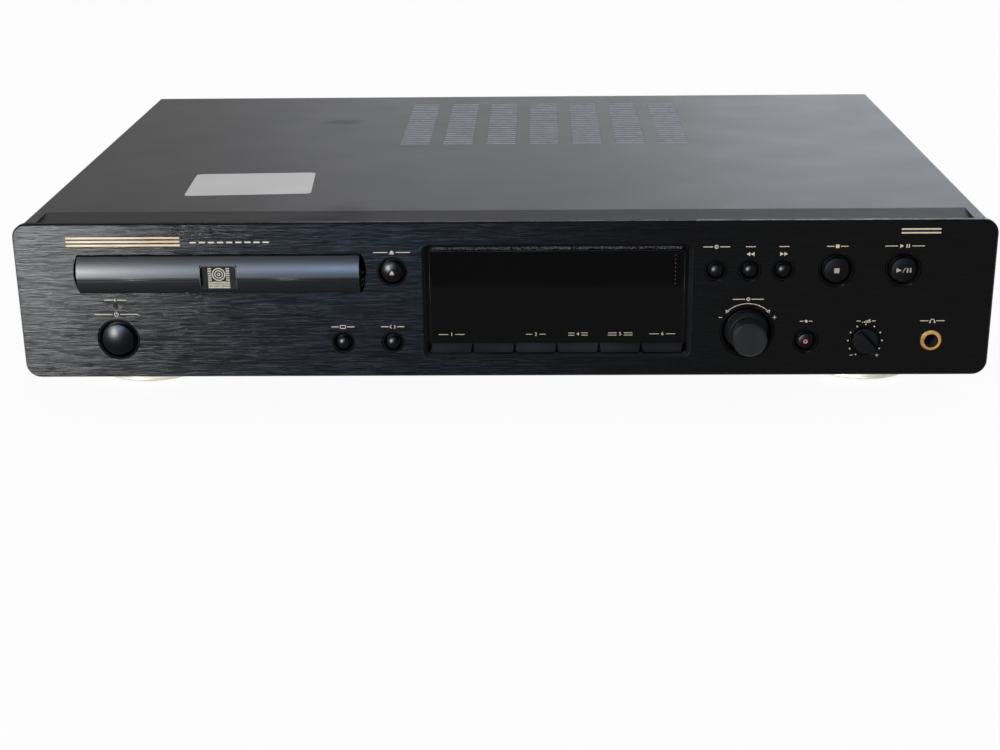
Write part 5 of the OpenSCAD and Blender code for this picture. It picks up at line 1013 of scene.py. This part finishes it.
def chipTree():
    tree, given, keys = newTree("edgeChips", {
        "Start": (0, 0, 0), "End": (0, 0, 0), "Count": 10, "Size": 0.0002, "Seed": 0})
    row = put(tree, "GeometryNodeMeshLine", {
        "Count": given["Count"], "Start Location": given["Start"], "Offset": given["End"]}, mode="END_POINTS")
    strewn = put(tree, "FunctionNodeRandomValue", {
        0: (-0.003, -0.0001, -0.0001), 1: (0.003, 0.0001, 0.0001), "Seed": given["Seed"],
    }, data_type="FLOAT_VECTOR")
    laid = put(tree, "GeometryNodeSetPosition", {"Geometry": row.outputs[0], "Offset": strewn.outputs[0]})
    size = put(tree, "FunctionNodeRandomValue", {
        0: (0.5, 0.4, 0.4), 1: (2.6, 1.0, 1.0), "Seed": given["Seed"]}, data_type="FLOAT_VECTOR")
    flake = put(tree, "GeometryNodeMeshIcoSphere", {"Radius": given["Size"], "Subdivisions": 1})
    return endTree(tree, keys, copied(tree, laid.outputs[0], flake.outputs["Mesh"], size.outputs[0]), "chip")


edgeEnds = [onEdge(-edgeLook["half"]), onEdge(edgeLook["half"])]
beaded("cover_edge", [edgeEnds], edgeLook["radius"], "faintHighlight", "casing")
edgeChips = chipTree()
for k, (middle, width, count) in enumerate(edgeLook["chips"]):
    grown(f"edge_chips_{k + 1}", edgeChips, {
        "Start": onEdge(middle - width / 2, edgeLook["chipRise"]),
        "End": onEdge(middle + width / 2, edgeLook["chipRise"]),
        "Count": count, "Size": edgeLook["chip"] / 1000, "Seed": 3 + k}, "casing")


# Camera, where the photograph was taken from

print("camera and light")
viewLook = {"lens": 60.65, "x": 16.1, "y": -726.1, "z": 265.4,
            "pitch": 0.349770, "yaw": 0.024423, "roll": -0.011375}


def photoCamera(look):
    def turned(angle, plane):
        c, s = math.cos(angle), math.sin(angle)
        return Matrix({"z": ((c, s, 0), (-s, c, 0), (0, 0, 1)), "x": ((1, 0, 0), (0, c, -s), (0, s, c)),
                       "y": ((c, 0, s), (0, 1, 0), (-s, 0, c))}[plane])
    right, forward, up = turned(look["roll"], "y") @ turned(look["pitch"], "x") @ turned(look["yaw"], "z")
    lens = bpy.data.cameras.new("photoCamera")
    lens.lens, lens.sensor_width, lens.sensor_fit = look["lens"], 36, "HORIZONTAL"
    lens.clip_start, lens.clip_end = 0.01, 100
    camera = placed("photoCamera", lens)
    camera.matrix_world = Matrix.Translation(at(look["x"], look["y"], look["z"])) @ Matrix(
        (right, up, -forward)).transposed().to_4x4()
    bpy.context.scene.camera = camera


photoCamera(viewLook)

# Two plain soft boxes light the object; the cards only show in its gloss, as a window and a sky would
softBoxes = {
    "overhead": {"place": (0.3, 0.3, 2.4), "aim": (0, 0, 0), "size": (2.4, 2.4), "watts": 20},
    "front": {"place": (-0.9, -2.2, 1.3), "aim": (0, 0, 0.03), "size": (1.6, 1.2), "watts": 12},
    "windowCard": {"place": (-1.02, -1.95, 0.45), "aim": (-1.02, 0, 0.45), "size": (0.63, 0.88), "watts": 620,
                   "colour": (0.97, 0.99, 1.0), "glossOnly": True},
    "blueCard": {"place": (-0.27, -1.95, 0.9), "aim": (-0.27, 0, 0.9), "size": (0.3, 0.6), "watts": 130,
                 "colour": (0.45, 0.65, 1.0), "glossOnly": True},
    "middleCard": {"place": (-0.1, 2.8, 0.8), "aim": (0.0, 0.1, 0.08), "size": (0.9, 0.9), "watts": 5,
                   "colour": (0.92, 0.94, 1.0), "glossOnly": True},
    "backCard": {"place": (1.25, 2.75, 0.8), "aim": (0.1, 0.1, 0.08), "size": (1.9, 0.9), "watts": 33,
                 "colour": (0.84, 0.91, 1.0), "glossOnly": True},
}


def softBox(name, look):
    light = bpy.data.lights.new(name, "AREA")
    light.shape = "RECTANGLE"
    light.size, light.size_y = look["size"]
    light.energy, light.color = look["watts"], look.get("colour", (1, 1, 1))
    box = placed(name, light)
    place, aim = Vector(look["place"]), Vector(look["aim"])
    box.matrix_world = Matrix.Translation(place) @ (aim - place).to_track_quat("-Z", "Y").to_matrix().to_4x4()
    box.visible_camera = False
    box.visible_diffuse = "glossOnly" not in look


for name, look in softBoxes.items():
    softBox(name, look)


# 1 for what the camera sees straight, in a reflection or through glass, else 0
def seenRays(tree):
    path = put(tree, "ShaderNodeLightPath").outputs
    return maths(tree, "MAXIMUM", path["Is Camera Ray"], maths(
        tree, "MAXIMUM", path["Is Glossy Ray"], path["Is Transmission Ray"]))


# World: white where it is seen, and an even plain light on surfaces
stageLook = {"light": 0.5, "floorHalf": 15, "floorGlow": 0.93, "floor": (0.93, 0.93, 0.93)}


def plainWorld(look):
    world = bpy.data.worlds.new("plainWorld")
    world.use_nodes = True
    tree = world.node_tree
    ground = tree.nodes["Background"]
    tree.links.new(spread(tree, seenRays(tree), look["light"], 1.0, 0, 1), ground.inputs["Strength"])
    ground.inputs["Color"].default_value = (1, 1, 1, 1)
    bpy.context.scene.world = world


plainWorld(stageLook)


# Floor: pale, nearly white where it is seen, and it keeps the object's shadow
def paleFloor(look):
    tree, shader = startMaterial("floor")[:2]
    setShader(tree, shader, {"Base Color": look["floor"], "Roughness": 1.0, "Specular IOR Level": 0.0})
    bright = put(tree, "ShaderNodeEmission", {"Color": (1, 1, 1), "Strength": 1.0})
    glow = maths(tree, "MULTIPLY", seenRays(tree), look["floorGlow"])
    mix = put(tree, "ShaderNodeMixShader", {0: glow, 1: shader.outputs[0], 2: bright.outputs[0]})
    tree.links.new(mix.outputs[0], tree.nodes["Material Output"].inputs["Surface"])
    half = look["floorHalf"]
    mesh = bpy.data.meshes.new("floor")
    corners = [(x, y, 0) for x, y in slab(-half, half, -half, half)]
    mesh.from_pydata(corners, [], [(0, 1, 2, 3)])
    mesh.materials.append(finishes["floor"])
    placed("floor", mesh)


paleFloor(stageLook)

bpy.context.scene.view_settings.view_transform = "Standard"
